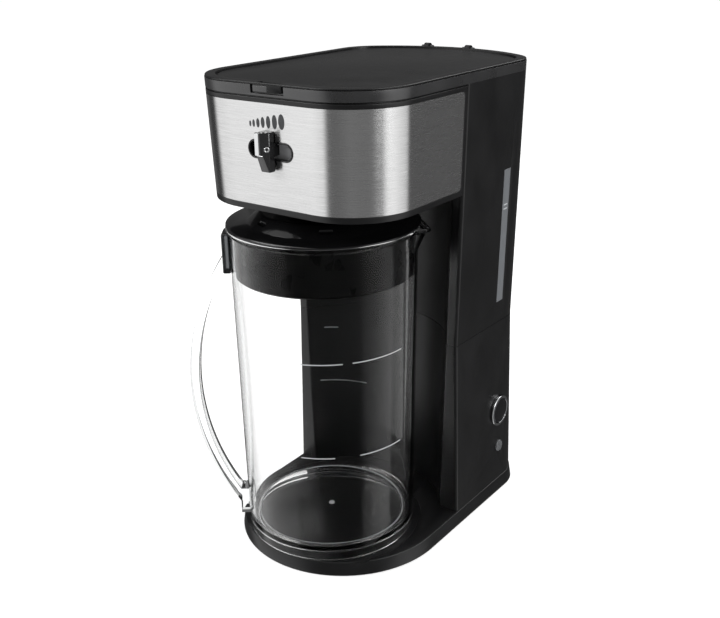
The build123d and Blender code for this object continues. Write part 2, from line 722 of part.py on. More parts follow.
# ---------------------------------------------------------------------------------------------
# reservoir lid
# ---------------------------------------------------------------------------------------------
def reservoir_lid():
    rim_z = TOP_Z - LID_RIM_T
    plate_z = TOP_Z - LID_RECESS - LID_PLATE_T
    lid = UPPER.solid(rim_z, TOP_Z, PART_GAP)
    lid = fillet([e for e in lid.edges() if abs(e.center().Z - TOP_Z) < 0.01], 0.6)
    lid += UPPER.solid(plate_z, rim_z, FRAME_T + 2 * PART_GAP)
    front = UPPER.at(TOP_Z).front
    half = TAB_WIDTH / 2
    x0, x1 = FRONT_FEATURE_X - half, FRONT_FEATURE_X + half
    corners = [(x0, front + TAB_BACK), (x0, front), (x0 + TAB_PROUD, front - TAB_PROUD),
               (x0 + TAB_PROUD + TAB_FACE, front - TAB_PROUD), (x1, front + TAB_BACK / 2),
               (x1, front + TAB_BACK)]
    tab = make_face(Polyline(corners, close=True))
    drop = TAB_DROP - LID_RECESS
    lid += Pos(0, 0, TOP_Z - TAB_DROP) * extrude(tab, drop, dir=(0, 0, 1))
    for x in HINGE_XS:
        clear = KNUCKLE_WIDTH / 2 + CHEEK_WIDTH + 3 * PART_GAP
        lid -= box(x - clear, x + clear, HINGE_Y - CHEEK_R - 2 * PART_GAP, FAR, 0, FAR)
        half_k = KNUCKLE_WIDTH / 2
        lid += rod_x(x - half_k, x + half_k, HINGE_Y, HINGE_Z, KNUCKLE_R)
        lid += box(x - half_k, x + half_k, HINGE_Y - KNUCKLE_ROOT, HINGE_Y, rim_z, TOP_Z)
        lid -= rod_x(x - FAR, x + FAR, HINGE_Y, HINGE_Z, PIN_R + RUNNING_CLEARANCE)
    pan_z = TOP_Z - LID_RECESS
    pan = make_face(UPPER.at(TOP_Z).inset(LID_RIM_WIDTH).wire(pan_z))
    panel = make_face(UPPER.at(TOP_Z).inset(LID_RIM_WIDTH + LID_GROOVE).wire(pan_z))
    lid -= extrude(pan, LID_RECESS + 1, dir=(0, 0, 1))
    lid -= extrude(pan - panel, LID_GROOVE_DEPTH, dir=(0, 0, -1))
    lid -= box(x0 + 2, x1 - 2, front + 1, front + LID_RIM_WIDTH + 2, pan_z, TOP_Z + 1)
    return lid


# ---------------------------------------------------------------------------------------------
# strength lever
# ---------------------------------------------------------------------------------------------
def strength_lever():
    front = slot_front_y()
    base = front - BEZEL_PROUD - PART_GAP
    tip = base - LEVER_PROUD
    x0, x1 = LEVER_X - LEVER_WIDTH / 2, LEVER_X + LEVER_WIDTH / 2
    z0, z1 = SLOT_Z - LEVER_HEIGHT / 2, SLOT_Z + LEVER_HEIGHT / 2
    waist = SLOT_Z - LEVER_WAIST
    lever = box(x0, x1, tip, base, waist, z1)
    foot = make_face(Plane.YZ * Polyline([(base, z0), (base - LEVER_FOOT_PROUD, z0),
                                          (tip + LEVER_STEP, waist), (base, waist)], close=True))
    lever += Pos(x0, 0, 0) * extrude(foot, x1 - x0, dir=(1, 0, 0))
    bevel = make_face(Polyline([(x1 - LEVER_BEVEL - 1, tip - 1), (x1 + 1, tip - 1),
                                (x1 + 1, tip + LEVER_BEVEL + 1)], close=True))
    lever -= Pos(0, 0, z0 - 1) * extrude(bevel, z1 - z0 + 2, dir=(0, 0, 1))
    taper = make_face(Plane.XZ * Polyline([(x0, waist), (x0 + LEVER_FOOT_INSET, z0 - 1), (x0 - 1, z0 - 1),
                                           (x0 - 1, waist)], close=True))
    lever -= Pos(0, base, 0) * extrude(taper, LEVER_PROUD + 1, dir=(0, -1, 0))
    back = front + STEEL_T + WALL + 1
    half_w, half_h = NECK_WIDTH / 2, NECK_HEIGHT / 2
    lever += box(LEVER_X - half_w, LEVER_X + half_w, base - 1, back + SHUTTER_T + 1,
                 SLOT_Z - half_h, SLOT_Z + half_h)
    return lever


def flow_shutter():
    """The plate behind the slot that the lever moves to share out the water."""
    back = slot_front_y() + STEEL_T + WALL + 1
    half_w, half_h = NECK_WIDTH / 2 + RUNNING_CLEARANCE, NECK_HEIGHT / 2 + RUNNING_CLEARANCE
    plate = box(LEVER_X - SHUTTER_HALF_W, LEVER_X + SHUTTER_HALF_W, back, back + SHUTTER_T,
                SLOT_Z - SHUTTER_HALF_H, SLOT_Z + SHUTTER_HALF_H)
    plate -= box(LEVER_X - half_w, LEVER_X + half_w, back - 1, back + SHUTTER_T + 1,
                 SLOT_Z - half_h, SLOT_Z + half_h)
    plate += box(LEVER_X - half_w, LEVER_X + half_w, back, back + SHUTTER_T,
                 SLOT_Z - SHUTTER_HALF_H - SHUTTER_ARM, SLOT_Z - SHUTTER_HALF_H)
    return plate


# ---------------------------------------------------------------------------------------------
# water system
# ---------------------------------------------------------------------------------------------
def water_reservoir():
    gap = WALL + TANK_GAP
    tank = UPPER.solid(TANK_FLOOR_Z, TANK_TOP_Z, gap) & behind(TANK_FRONT_Y)
    inner = UPPER.solid(TANK_FLOOR_Z + TANK_WALL, TANK_TOP_Z + 1, gap + TANK_WALL)
    tank -= inner & behind(TANK_FRONT_Y + TANK_WALL)
    spigot_z = TANK_FLOOR_Z - SHELF_T - SPIGOT_LENGTH
    tank += rod(OUTLET_X, OUTLET_Y, spigot_z, TANK_FLOOR_Z + TANK_WALL / 2, OUTLET_R)
    return tank - rod(OUTLET_X, OUTLET_Y, spigot_z - 1, TANK_FLOOR_Z + TANK_WALL + 1, OUTLET_R - SPIGOT_WALL)


def outlet_seal():
    low, high = TANK_FLOOR_Z - SHELF_T - SEAL_FLANGE, TANK_FLOOR_Z
    seal = rod(OUTLET_X, OUTLET_Y, low, high, SEAL_R)
    seal += rod(OUTLET_X, OUTLET_Y, low, low + SEAL_FLANGE, SEAL_R + SEAL_FLANGE)
    return seal - rod(OUTLET_X, OUTLET_Y, low - 1, high + 1, OUTLET_R)


def supply_hose():
    """Cold water: from the reservoir's spigot to the valve."""
    top = TANK_FLOOR_Z - SHELF_T - SEAL_FLANGE - SEAM_GAP
    upper = rod(OUTLET_X, OUTLET_Y, VALVE_Z + VALVE_LENGTH / 2, top, OUTLET_R + HOSE_WALL)
    return upper - rod(OUTLET_X, OUTLET_Y, 0, FAR, OUTLET_R)


def check_valve():
    z0, z1 = VALVE_Z - VALVE_LENGTH / 2, VALVE_Z + VALVE_LENGTH / 2
    valve = rod(OUTLET_X, OUTLET_Y, z0, z1, VALVE_R)
    valve = chamfer(valve.edges(), 1.0)
    valve += rod(OUTLET_X, OUTLET_Y, z0 - VALVE_STUB, z1 + VALVE_STUB, OUTLET_R)
    return valve - rod(OUTLET_X, OUTLET_Y, z0 - VALVE_STUB - 1, z1 + VALVE_STUB + 1, OUTLET_R - SPIGOT_WALL)


HEATER_R = HEATER_SPACING / 2
TUBE_Z = HEATER_Z + HEATER_T + TUBE_R


def heater_path(z, lead):
    """A horseshoe centre line, open to the front, at height z."""
    left, right = (-HEATER_R, HEATER_Y, z), (HEATER_R, HEATER_Y, z)
    legs = HEATER_Y - HEATER_LEG - lead
    return Wire([Edge.make_line((-HEATER_R, legs, z), left),
                 Edge.make_three_point_arc(left, (0, HEATER_Y + HEATER_R, z), right),
                 Edge.make_line(right, (HEATER_R, legs, z))])


def heater_casting():
    path = heater_path(HEATER_Z + HEATER_T / 2, 0.0)
    start = Plane(origin=path @ 0, x_dir=(0, 0, 1), z_dir=path % 0)
    return sweep(start * Rectangle(HEATER_T, HEATER_BAR), path=path)


def heater_tube():
    path = heater_path(TUBE_Z, TUBE_LEAD)
    start = Plane(origin=path @ 0, z_dir=path % 0)
    return sweep(start * Circle(TUBE_R) - start * Circle(TUBE_BORE_R), path=path)


TUBE_END_Y = HEATER_Y - HEATER_LEG - TUBE_LEAD


def valve_hose():
    """Cold water: from the valve down and into the heater tube's left end."""
    top = VALVE_Z - VALVE_LENGTH / 2 - VALVE_STUB
    points = [(OUTLET_X, OUTLET_Y, top), (OUTLET_X, OUTLET_Y, TUBE_Z + HOSE_BEND_Z),
              (OUTLET_X, HOSE_TURN_Y, TUBE_Z + HOSE_CROSS_Z), (OUTLET_X, HOSE_TURN_Y, TUBE_Z),
              (OUTLET_X, TUBE_END_Y, TUBE_Z)]
    return hose(points, HOSE_R, HOSE_BORE_R, HOSE_BEND)


def riser_hose():
    """Hot water: up the front of the column and over the head floor to the spray head."""
    points = [(HEATER_R, TUBE_END_Y, TUBE_Z), (HEATER_R, HOSE_TURN_Y, TUBE_Z),
              (HEATER_R, HOSE_TURN_Y, TUBE_Z + RISER_BEND_Z),
              (RISER_X, RISER_Y, TUBE_Z + RISER_STRAIGHT_Z),
              (RISER_X, RISER_Y, RISER_TOP_Z), (0, JUG_Y, RISER_TOP_Z), (0, JUG_Y, HEAD_FLOOR_Z)]
    return hose(points, HOSE_R, HOSE_BORE_R, HOSE_BEND)


def spray_head():
    """The outlet under the head: a shallow chamber with a ring of drip holes."""
    low = HEAD_FLOOR_Z - SPRAY_T
    head = turned([(0, low), (SPRAY_R - 2, low), (SPRAY_R, low + 1.5), (SPRAY_R, HEAD_FLOOR_Z),
                   (0, HEAD_FLOOR_Z)], 0, JUG_Y)
    head -= rod(0, JUG_Y, low + 1.5, HEAD_FLOOR_Z + 1, SPRAY_CHAMBER_R)
    ring = 0.7 * SPRAY_CHAMBER_R
    for i in range(SPRAY_HOLES):
        turn = radians(360 / SPRAY_HOLES * i)
        head -= rod(ring * cos(turn), JUG_Y + ring * sin(turn), low - 1, low + 3, SPRAY_HOLE_R)
    return head


def sided(side, a, b):
    """The span between two distances from the middle, on one side of it, low end first."""
    return sorted((side * a, side * b))


DISC_X = HEATER_R - HEATER_BAR / 2 - THERMOSTAT_T
CLIP_X = DISC_X - THERMOSTAT_CAP_T


def thermostats():
    """Two snap discs against the inner faces of the heater's legs."""
    z = HEATER_Z + HEATER_T / 2
    discs = []
    for side in (-1, 1):
        disc = rod_x(*sided(side, DISC_X, DISC_X + THERMOSTAT_T), THERMOSTAT_Y, z, THERMOSTAT_R)
        disc += rod_x(*sided(side, CLIP_X, DISC_X), THERMOSTAT_Y, z, THERMOSTAT_CAP_R)
        discs.append(disc)
    return discs


def thermostat_clip():
    """The bent strip that spreads between the two discs and holds them to the heater."""
    y0, y1 = THERMOSTAT_Y - CLIP_HALF_W, THERMOSTAT_Y + CLIP_HALF_W
    z = HEATER_Z + HEATER_T / 2
    top = z + CLIP_HALF_H + CLIP_T
    clip = box(-CLIP_X, CLIP_X, y0, y1, top - CLIP_T, top)
    for side in (-1, 1):
        clip += box(*sided(side, CLIP_X - CLIP_T, CLIP_X), y0, y1, z - CLIP_HALF_H, top)
    return clip


# ---------------------------------------------------------------------------------------------
# electrics
# ---------------------------------------------------------------------------------------------
WALL_AT_BUTTON = LOWER.at(BUTTON_Z).half_w
WALL_AT_LENS = LOWER.at(LENS_Z).half_w


def button_bezel():
    out = WALL_AT_BUTTON + BEZEL_OUT
    ring = rod_x(WALL_AT_BUTTON + 0.35, out, BUTTON_Y, BUTTON_Z, BEZEL_R)
    ring = fillet([e for e in ring.edges() if abs(e.center().X - out) < 0.01], 0.7)
    ring += rod_x(SWITCH_X1, WALL_AT_BUTTON + 0.4, BUTTON_Y, BUTTON_Z, BEZEL_BARREL_R)
    return ring - rod_x(SWITCH_X1 - 1, out + 1, BUTTON_Y, BUTTON_Z, BUTTON_R + PART_GAP)


def power_button():
    out = WALL_AT_BUTTON + BEZEL_OUT - 0.2
    cap = rod_x(out - BUTTON_T, out, BUTTON_Y, BUTTON_Z, BUTTON_R)
    cap = fillet([e for e in cap.edges() if abs(e.center().X - out) < 0.01], 0.6)
    return cap + rod_x(SWITCH_X1 - STEM_ENTRY, out - BUTTON_T, BUTTON_Y, BUTTON_Z, STEM_R)


def switch_module():
    """The push switch clipped to the back of the bezel's barrel."""
    body = box(SWITCH_X0, SWITCH_X1, BUTTON_Y - SWITCH_HALF_W, BUTTON_Y + SWITCH_HALF_W,
               BUTTON_Z - SWITCH_HALF_H, BUTTON_Z + SWITCH_HALF_H)
    body -= rod_x(SWITCH_X1 - STEM_ENTRY - BUTTON_TRAVEL - 1, SWITCH_X1 + 1, BUTTON_Y, BUTTON_Z,
                  STEM_R + RUNNING_CLEARANCE)
    for y in (BUTTON_Y - BLADE_SPREAD, BUTTON_Y + BLADE_SPREAD):
        body += box(SWITCH_X0 - BLADE_LENGTH, SWITCH_X0, y - BLADE_HALF_T, y + BLADE_HALF_T,
                    BUTTON_Z - BLADE_HALF_W, BUTTON_Z + BLADE_HALF_W)
    return body


def indicator_lens():
    face = WALL_AT_LENS + LENS_OUT
    lens = rod_x(WALL_AT_LENS - WALL - 2, face, BUTTON_Y, LENS_Z, LENS_R)
    return fillet([e for e in lens.edges() if abs(e.center().X - face) < 0.01], 0.8)


def indicator_lamp():
    front = WALL_AT_LENS - WALL - 2
    lamp = rod_x(front - LAMP_LENGTH, front, BUTTON_Y, LENS_Z, LAMP_R)
    back = front - LAMP_LENGTH
    for y in (BUTTON_Y - LAMP_LEAD_SPREAD, BUTTON_Y + LAMP_LEAD_SPREAD):
        lamp += rod_x(back - LAMP_LEAD, back, y, LENS_Z, LAMP_LEAD_R)
    return lamp


def back_at(x, z):
    """The column's back face at x and height z."""
    plan = LOWER.at(z)
    return plan.back - plan.r_bow + sqrt(plan.r_bow ** 2 - x ** 2)


def cord_gland():
    """The empty cord outlet low on the back."""
    face = back_at(GLAND_X, GLAND_Z)
    gland = rod_y(GLAND_X, face - WALL - GLAND_INNER, face + GLAND_OUT, GLAND_Z, GLAND_R)
    gland += rod_y(GLAND_X, face + GLAND_SHADOW, face + GLAND_OUT, GLAND_Z, GLAND_R + GLAND_FLANGE)
    return gland - rod_y(GLAND_X, face - FAR, face + FAR, GLAND_Z, CORD_BORE_R)


def terminal_block():
    top = BASE_TOP_Z + TERMINAL_T
    block = box(TERMINAL_X - TERMINAL_HALF_L, TERMINAL_X + TERMINAL_HALF_L,
                TERMINAL_Y - TERMINAL_HALF_W, TERMINAL_Y + TERMINAL_HALF_W, BASE_TOP_Z, top)
    for i in (-1, 0, 1):
        x = TERMINAL_X + TERMINAL_PITCH * i
        block -= rod(x, TERMINAL_Y, top - TERMINAL_HOLE_DEPTH, FAR, TERMINAL_HOLE_R)
    return block


def power_wires():
    """Insulated leads from the terminal block to the switch's two blades."""
    wires = []
    blade_x = SWITCH_X0 - BLADE_LENGTH
    turn_x = blade_x - WIRE_TURN
    low = BASE_TOP_Z + TERMINAL_T - TERMINAL_HOLE_DEPTH + 1
    for i in (-1, 1):
        x = TERMINAL_X + TERMINAL_PITCH * i
        y = BUTTON_Y + BLADE_SPREAD * i
        points = [(x, TERMINAL_Y, low), (x, TERMINAL_Y, BUTTON_Z - 2 * SWITCH_HALF_H),
                  (turn_x, y, BUTTON_Z - WIRE_DROP), (turn_x, y, BUTTON_Z), (blade_x, y, BUTTON_Z)]
        path = FilletPolyline(*points, radius=WIRE_BEND)
        wires.append(sweep(Plane(origin=path @ 0, z_dir=path % 0) * Circle(WIRE_R), path=path))
    return wires


# ---------------------------------------------------------------------------------------------
# jug
# ---------------------------------------------------------------------------------------------
def jug_radius(z):
    """The jug's outer radius below its rim, at height z above the table."""
    return JUG_FOOT_R + (JUG_NECK_R - JUG_FOOT_R) * (z - JUG_FOOT_Z) / (JUG_NECK_Z - JUG_FOOT_Z)


def spout(gap, low, high):
    """A wedge that widens upwards and points away from the handle."""
    reach, width = SPOUT_REACH - gap, SPOUT_WIDTH / 2 - gap
    inner = JUG_NECK_R - 6
    foot = Polyline([(inner, -2, low), (inner, 2, low), (JUG_NECK_R - 1, 0, low)], close=True)
    head = Polyline([(inner, -width - 3, high), (inner, width + 3, high), (reach, 0, high)], close=True)
    return Solid.make_loft([foot.wire(), head.wire()], ruled=True)


def above_lip():
    """The space over the spout, whose edge falls from the rim to its tip."""
    slope = make_face(Polyline([(JUG_RIM_R, JUG_RIM_Z), (SPOUT_REACH, JUG_RIM_Z - SPOUT_DROP),
                                (SPOUT_REACH + 1, JUG_RIM_Z + 1), (JUG_RIM_R, JUG_RIM_Z + 1)],
                               close=True))
    return extrude(Plane.XZ * slope, SPOUT_WIDTH, both=True)


def jug_body():
    inner_rim = JUG_RIM_R - JUG_WALL
    inner_neck = JUG_NECK_R - JUG_WALL
    inner_floor = jug_radius(JUG_FLOOR_Z) - JUG_WALL
    bend = JUG_FLOOR_FILLET
    cup = turned([
        (0, JUG_FLOOR_Z - JUG_FLOOR_T), (inner_floor - 2, JUG_FLOOR_Z - JUG_FLOOR_T),
        (jug_radius(JUG_FOOT_Z) - JUG_WALL - 1, JUG_FOOT_Z), (JUG_FOOT_R, JUG_FOOT_Z),
        (JUG_NECK_R, JUG_NECK_Z), (JUG_RIM_R, JUG_NECK_Z + 1.2), (JUG_RIM_R, JUG_RIM_Z),
        (inner_rim, JUG_RIM_Z), (inner_rim, JUG_NECK_Z + 1), (inner_neck, JUG_NECK_Z + 1),
        (inner_floor, JUG_FLOOR_Z + bend), (inner_floor - 0.3 * bend, JUG_FLOOR_Z + 0.3 * bend),
        (inner_floor - bend, JUG_FLOOR_Z), (0, JUG_FLOOR_Z)])
    low = JUG_RIM_Z - SPOUT_DEPTH
    lip = spout(0, low, JUG_RIM_Z) - rod(0, 0, 0, FAR, inner_rim) - above_lip()
    cup += Rot(0, 0, SPOUT_ANGLE) * lip
    channel = spout(JUG_WALL, low + 4, JUG_RIM_Z + 1)
    cup -= Rot(0, 0, SPOUT_ANGLE) * (channel & box(0, FAR, -FAR, FAR, JUG_NECK_Z + 1, FAR))
    return Pos(0, JUG_Y, 0) * cup


def jug_handle():
    """The bowed clear handle, made along +X of the jug's axis and then turned to its side."""
    centre_r = HANDLE_REACH - HANDLE_BOW_R
    half = HANDLE_WIDTH / 2
    ring = Pos(centre_r, 0, HANDLE_MID_Z) * Rot(90, 0, 0) * (
        Cylinder(HANDLE_BOW_R, HANDLE_WIDTH) - Cylinder(HANDLE_BOW_R - HANDLE_T, HANDLE_WIDTH))
    bow = ring & box(JUG_FOOT_R - 4, FAR, -half, half, HANDLE_Z0, HANDLE_Z1)
    bracket = box(JUG_FOOT_R - 2, BRACKET_REACH, -half - 2, half + 2, BRACKET_Z0, BRACKET_Z1)
    bracket = fillet(bracket.edges().filter_by(Axis.X), 2.0)
    lug = box(JUG_FOOT_R - 4, JUG_FOOT_R + 5.5, -half, half, LUG_Z0, LUG_Z1)
    outer = turned([(0, 0), (JUG_FOOT_R, JUG_FOOT_Z), (JUG_NECK_R, JUG_NECK_Z), (0, JUG_NECK_Z)])
    handle = bow + bracket + lug - outer
    return on_jug(handle, HANDLE_ANGLE)


def basket_radius(z):
    """The brew basket's outer radius, clear of the jug's tapered wall."""
    return jug_radius(z) - JUG_WALL - BASKET_GAP


def brew_basket():
    seat = JUG_NECK_Z + 1
    low, high = BASKET_Z, seat + BASKET_FLANGE_T
    flange_r = JUG_RIM_R - JUG_WALL - LID_GAP
    inner_top, inner_low = basket_radius(seat) - BASKET_WALL, basket_radius(low) - BASKET_WALL
    cup = turned([(0, low), (basket_radius(low) - 1.5, low), (basket_radius(low), low + 1.5),
                  (basket_radius(seat), seat), (flange_r, seat), (flange_r, high), (inner_top, high),
                  (inner_low, low + BASKET_WALL), (0, low + BASKET_WALL)], 0, JUG_Y)
    for i in range(DRAIN_COUNT):
        turn = radians(360 / DRAIN_COUNT * i)
        x, y = DRAIN_RING_R * cos(turn), JUG_Y + DRAIN_RING_R * sin(turn)
        cup -= rod(x, y, low - 1, low + BASKET_WALL + 1, DRAIN_R)
    return cup


def filter_cup():
    """The fine mesh cup that holds the tea, resting on the basket's floor."""
    low = BASKET_Z + BASKET_WALL
    high = JUG_NECK_Z - 6
    top_r = basket_radius(high) - BASKET_WALL - 1.5
    cup = turned([(0, low), (FILTER_FOOT_R, low), (top_r, high), (top_r - FILTER_WALL, high),
                  (FILTER_FOOT_R - FILTER_WALL, low + FILTER_WALL), (0, low + FILTER_WALL)], 0, JUG_Y)
    rim = rod(0, JUG_Y, high - 2, high, top_r + 0.8) - rod(0, JUG_Y, high - 3, high + 1, top_r - 0.4)
    return cup + rim


def jug_lid():
    """The black lid: a flat ring on the jug's rim, a raised dome and an inlet for the water."""
    seat = JUG_RIM_Z + LID_SEAT_GAP
    ring_r = JUG_RIM_R - LID_RING_INSET
    top, under = seat + LID_RING_T, seat
    plug_r = basket_radius(JUG_NECK_Z) - BASKET_WALL - LID_GAP
    lid = turned([
        (INLET_R, DOME_TOP_Z - 3), (INLET_R, DOME_TOP_Z - 1), (DOME_TOP_R - 3, DOME_TOP_Z - 1),
        (DOME_TOP_R - 2, DOME_TOP_Z), (DOME_TOP_R, DOME_TOP_Z), (DOME_R, top + 1), (DOME_R + 1.5, top),
        (ring_r - 1.5, top), (ring_r, top - 0.6), (ring_r, under), (plug_r, under), (plug_r, under - PLUG_T),
        (plug_r - 1.6, under - PLUG_T), (plug_r - 1.6, under), (DOME_R - 1, under),
        (DOME_TOP_R - 2.5, DOME_TOP_Z - 3)])
    for i in range(VENT_COUNT):
        turn = radians(VENT_ANGLE + 360 / VENT_COUNT * i)
        mid_r = (DOME_R + DOME_TOP_R) / 2
        slot = Pos(mid_r * cos(turn), mid_r * sin(turn), DOME_TOP_Z - 2) * Rot(0, 0, degrees(turn) + 90)
        lid -= slot * extrude(SlotOverall(VENT_LENGTH, VENT_WIDTH), 6, both=True)
    return Pos(0, JUG_Y, 0) * lid


# ---------------------------------------------------------------------------------------------
# write every piece
# ---------------------------------------------------------------------------------------------
PIECES = [
    base_tray, base_cover, rubber_feet, base_screws, lower_housing, upper_housing, head_shell,
    steel_panel, slot_bezel, top_frame, fill_deck, hinge_pins, reservoir_lid, strength_lever,
    flow_shutter,
    water_reservoir, water_window, outlet_seal, supply_hose, check_valve, valve_hose,
    heater_casting, heater_tube, riser_hose, spray_head, thermostats, thermostat_clip,
    button_bezel, power_button, switch_module, indicator_lens, indicator_lamp, cord_gland,
    terminal_block, power_wires, jug_body, jug_handle, brew_basket, filter_cup, jug_lid,
]


def main():
    os.makedirs("parts", exist_ok=True)
    for make in PIECES:
        shape = make()
        shape = Compound(children=shape) if isinstance(shape, list) else shape
        export_step(shape, f"parts/{make.__name__}.step")


if __name__ == "__main__":
    main()
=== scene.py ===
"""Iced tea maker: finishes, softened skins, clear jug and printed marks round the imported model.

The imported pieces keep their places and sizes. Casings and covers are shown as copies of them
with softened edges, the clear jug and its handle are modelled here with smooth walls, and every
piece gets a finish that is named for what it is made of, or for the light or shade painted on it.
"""

import json
import logging
import math
from dataclasses import dataclass
from enum import Enum

import bpy
from mathutils import Matrix, Vector


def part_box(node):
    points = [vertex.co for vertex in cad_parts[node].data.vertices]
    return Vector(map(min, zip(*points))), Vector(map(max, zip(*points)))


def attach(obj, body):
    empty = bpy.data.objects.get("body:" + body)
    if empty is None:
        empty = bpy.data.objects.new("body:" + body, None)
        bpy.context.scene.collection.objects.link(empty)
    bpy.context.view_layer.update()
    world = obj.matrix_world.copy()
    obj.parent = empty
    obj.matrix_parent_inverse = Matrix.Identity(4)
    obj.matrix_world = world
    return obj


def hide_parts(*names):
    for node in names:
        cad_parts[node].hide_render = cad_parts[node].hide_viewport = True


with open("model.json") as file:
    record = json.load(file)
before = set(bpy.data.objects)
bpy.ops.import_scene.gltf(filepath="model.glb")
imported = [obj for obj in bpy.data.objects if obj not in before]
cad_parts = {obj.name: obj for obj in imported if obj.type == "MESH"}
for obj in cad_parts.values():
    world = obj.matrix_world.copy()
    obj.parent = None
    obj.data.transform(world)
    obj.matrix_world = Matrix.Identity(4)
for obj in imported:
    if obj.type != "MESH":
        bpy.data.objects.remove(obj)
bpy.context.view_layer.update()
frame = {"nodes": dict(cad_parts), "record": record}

LOG = logging.getLogger("tea_maker")
MM = 0.001
FULL_TURN = 2 * math.pi
# the middle of a noise's range, where nearly all of its values lie
NOISE_LOW, NOISE_HIGH = 0.3, 0.7
# a Mix node's colour sockets: the two that go in and the one that comes out
MIX_A, MIX_B, MIX_OUT = 6, 7, 2
# how far apart a band texture's bands stand at a scale of 1
BAND_PITCH = 0.32
# how far the upright outer walls lean in per unit of height
WALL_LEAN = 0.026
# how near a point is to a corner when it is that corner
SAME_CORNER = 0.05 * MM
# a ray's counts are whole numbers, so this tells none from one or more
ONE_OR_MORE = 0.5
WHITE = "#ffffff"


# ---------------------------------------------------------------------------------------------
# colour and nodes
# ---------------------------------------------------------------------------------------------
def linear(colour: str) -> tuple[float, float, float, float]:
    """Turns an sRGB hex colour into the linear values that shaders take.

    Args:
        colour: Six hex digits, with or without a leading hash.

    Returns:
        Red, green, blue and an alpha of 1.
    """
    digits = colour.lstrip("#")
    values = [int(digits[i:i + 2], 16) / 255 for i in (0, 2, 4)]
    bent = [v / 12.92 if v <= 0.04045 else ((v + 0.055) / 1.055) ** 2.4 for v in values]
    return bent[0], bent[1], bent[2], 1.0


def add_node(tree: bpy.types.NodeTree, kind: str, settings: dict | None = None,
             inputs: dict | None = None) -> bpy.types.Node:
    """Adds one node with its settings and its inputs.

    Args:
        tree: The node tree to add to.
        kind: Blender's name for the kind of node.
        settings: Properties of the node, by name.
        inputs: Values, or output sockets to link from, by input name or number.

    Returns:
        The new node.
    """
    node = tree.nodes.new(kind)
    for name, value in (settings or {}).items():
        setattr(node, name, value)
    for name, value in (inputs or {}).items():
        if isinstance(value, bpy.types.NodeSocket):
            tree.links.new(value, node.inputs[name])
        else:
            node.inputs[name].default_value = value
    return node


def stretched_noise(tree: bpy.types.NodeTree, sizes_mm: tuple[float, float, float],
                    detail: float = 2.0) -> bpy.types.NodeSocket:
    """A noise whose blotches have a real size along each axis.

    Args:
        tree: The material's node tree.
        sizes_mm: Size of a blotch along X, Y and Z in millimetres.
        detail: Octaves of finer noise.

    Returns:
        The noise's factor, from 0 to 1.
    """
    place = add_node(tree, "ShaderNodeTexCoord").outputs["Object"]
    scale = tuple(1 / (size * MM) for size in sizes_mm)
    spread = add_node(tree, "ShaderNodeMapping", inputs={"Vector": place, "Scale": scale})
    noise = add_node(tree, "ShaderNodeTexNoise",
                     inputs={"Vector": spread.outputs[0], "Scale": 1.0, "Detail": detail})
    return noise.outputs[0]


def lay_pattern(tree: bpy.types.NodeTree, shader: bpy.types.Node, pattern: bpy.types.NodeSocket,
                colours: tuple[str, str] | None = None, gloss: tuple[float, float] | None = None,
                relief: tuple[float, float] | None = None,
                ends: tuple[float, float] = (NOISE_LOW, NOISE_HIGH)) -> None:
    """Lets one pattern change a surface's colour, gloss or height.

    Args:
        tree: The material's node tree.
        shader: Its Principled shader.
        pattern: The pattern's factor.
        colours: Hex colours at the pattern's low and high end.
        gloss: Roughness at its low and high end.
        relief: How far its high end stands proud in millimetres, and the share of that slope
            that the light sees.
        ends: The factor's values at the two ends.
    """
    reach = {"Value": pattern, "From Min": ends[0], "From Max": ends[1]}
    if colours:
        share = add_node(tree, "ShaderNodeMapRange", inputs=reach)
        tone = add_node(tree, "ShaderNodeMix", {"data_type": "RGBA"},
                        {0: share.outputs[0], MIX_A: linear(colours[0]),
                         MIX_B: linear(colours[1])})
        tree.links.new(tone.outputs[MIX_OUT], shader.inputs["Base Color"])
    if gloss:
        level = add_node(tree, "ShaderNodeMapRange",
                         inputs={**reach, "To Min": gloss[0], "To Max": gloss[1]})
        tree.links.new(level.outputs[0], shader.inputs["Roughness"])
    if relief:
        bump = add_node(tree, "ShaderNodeBump",
                        inputs={"Height": pattern, "Distance": relief[0] * MM,
                                "Strength": relief[1]})
        tree.links.new(bump.outputs[0], shader.inputs["Normal"])


# ---------------------------------------------------------------------------------------------
# finishes
# ---------------------------------------------------------------------------------------------
@dataclass(frozen=True)
class Finish:
    """What a surface is made of; each kind of finish adds its own pattern."""

    name: str
    colour: str
    roughness: float

    def build(self) -> bpy.types.Material:
        """Makes the material.

        Returns:
            A material with one Principled shader, dressed by the finish's own pattern.
        """
        material = bpy.data.materials.new(self.name)
        material.use_nodes = True
        tree = material.node_tree
        tree.nodes.clear()
        shader = add_node(tree, "ShaderNodeBsdfPrincipled",
                          inputs={"Base Color": linear(self.colour), "Roughness": self.roughness})
        add_node(tree, "ShaderNodeOutputMaterial", inputs={"Surface": shader.outputs[0]})
        self.dress(tree, shader)
        return material

    def dress(self, tree: bpy.types.NodeTree, shader: bpy.types.Node) -> None:
        """Adds the pattern; the plain finish has none."""


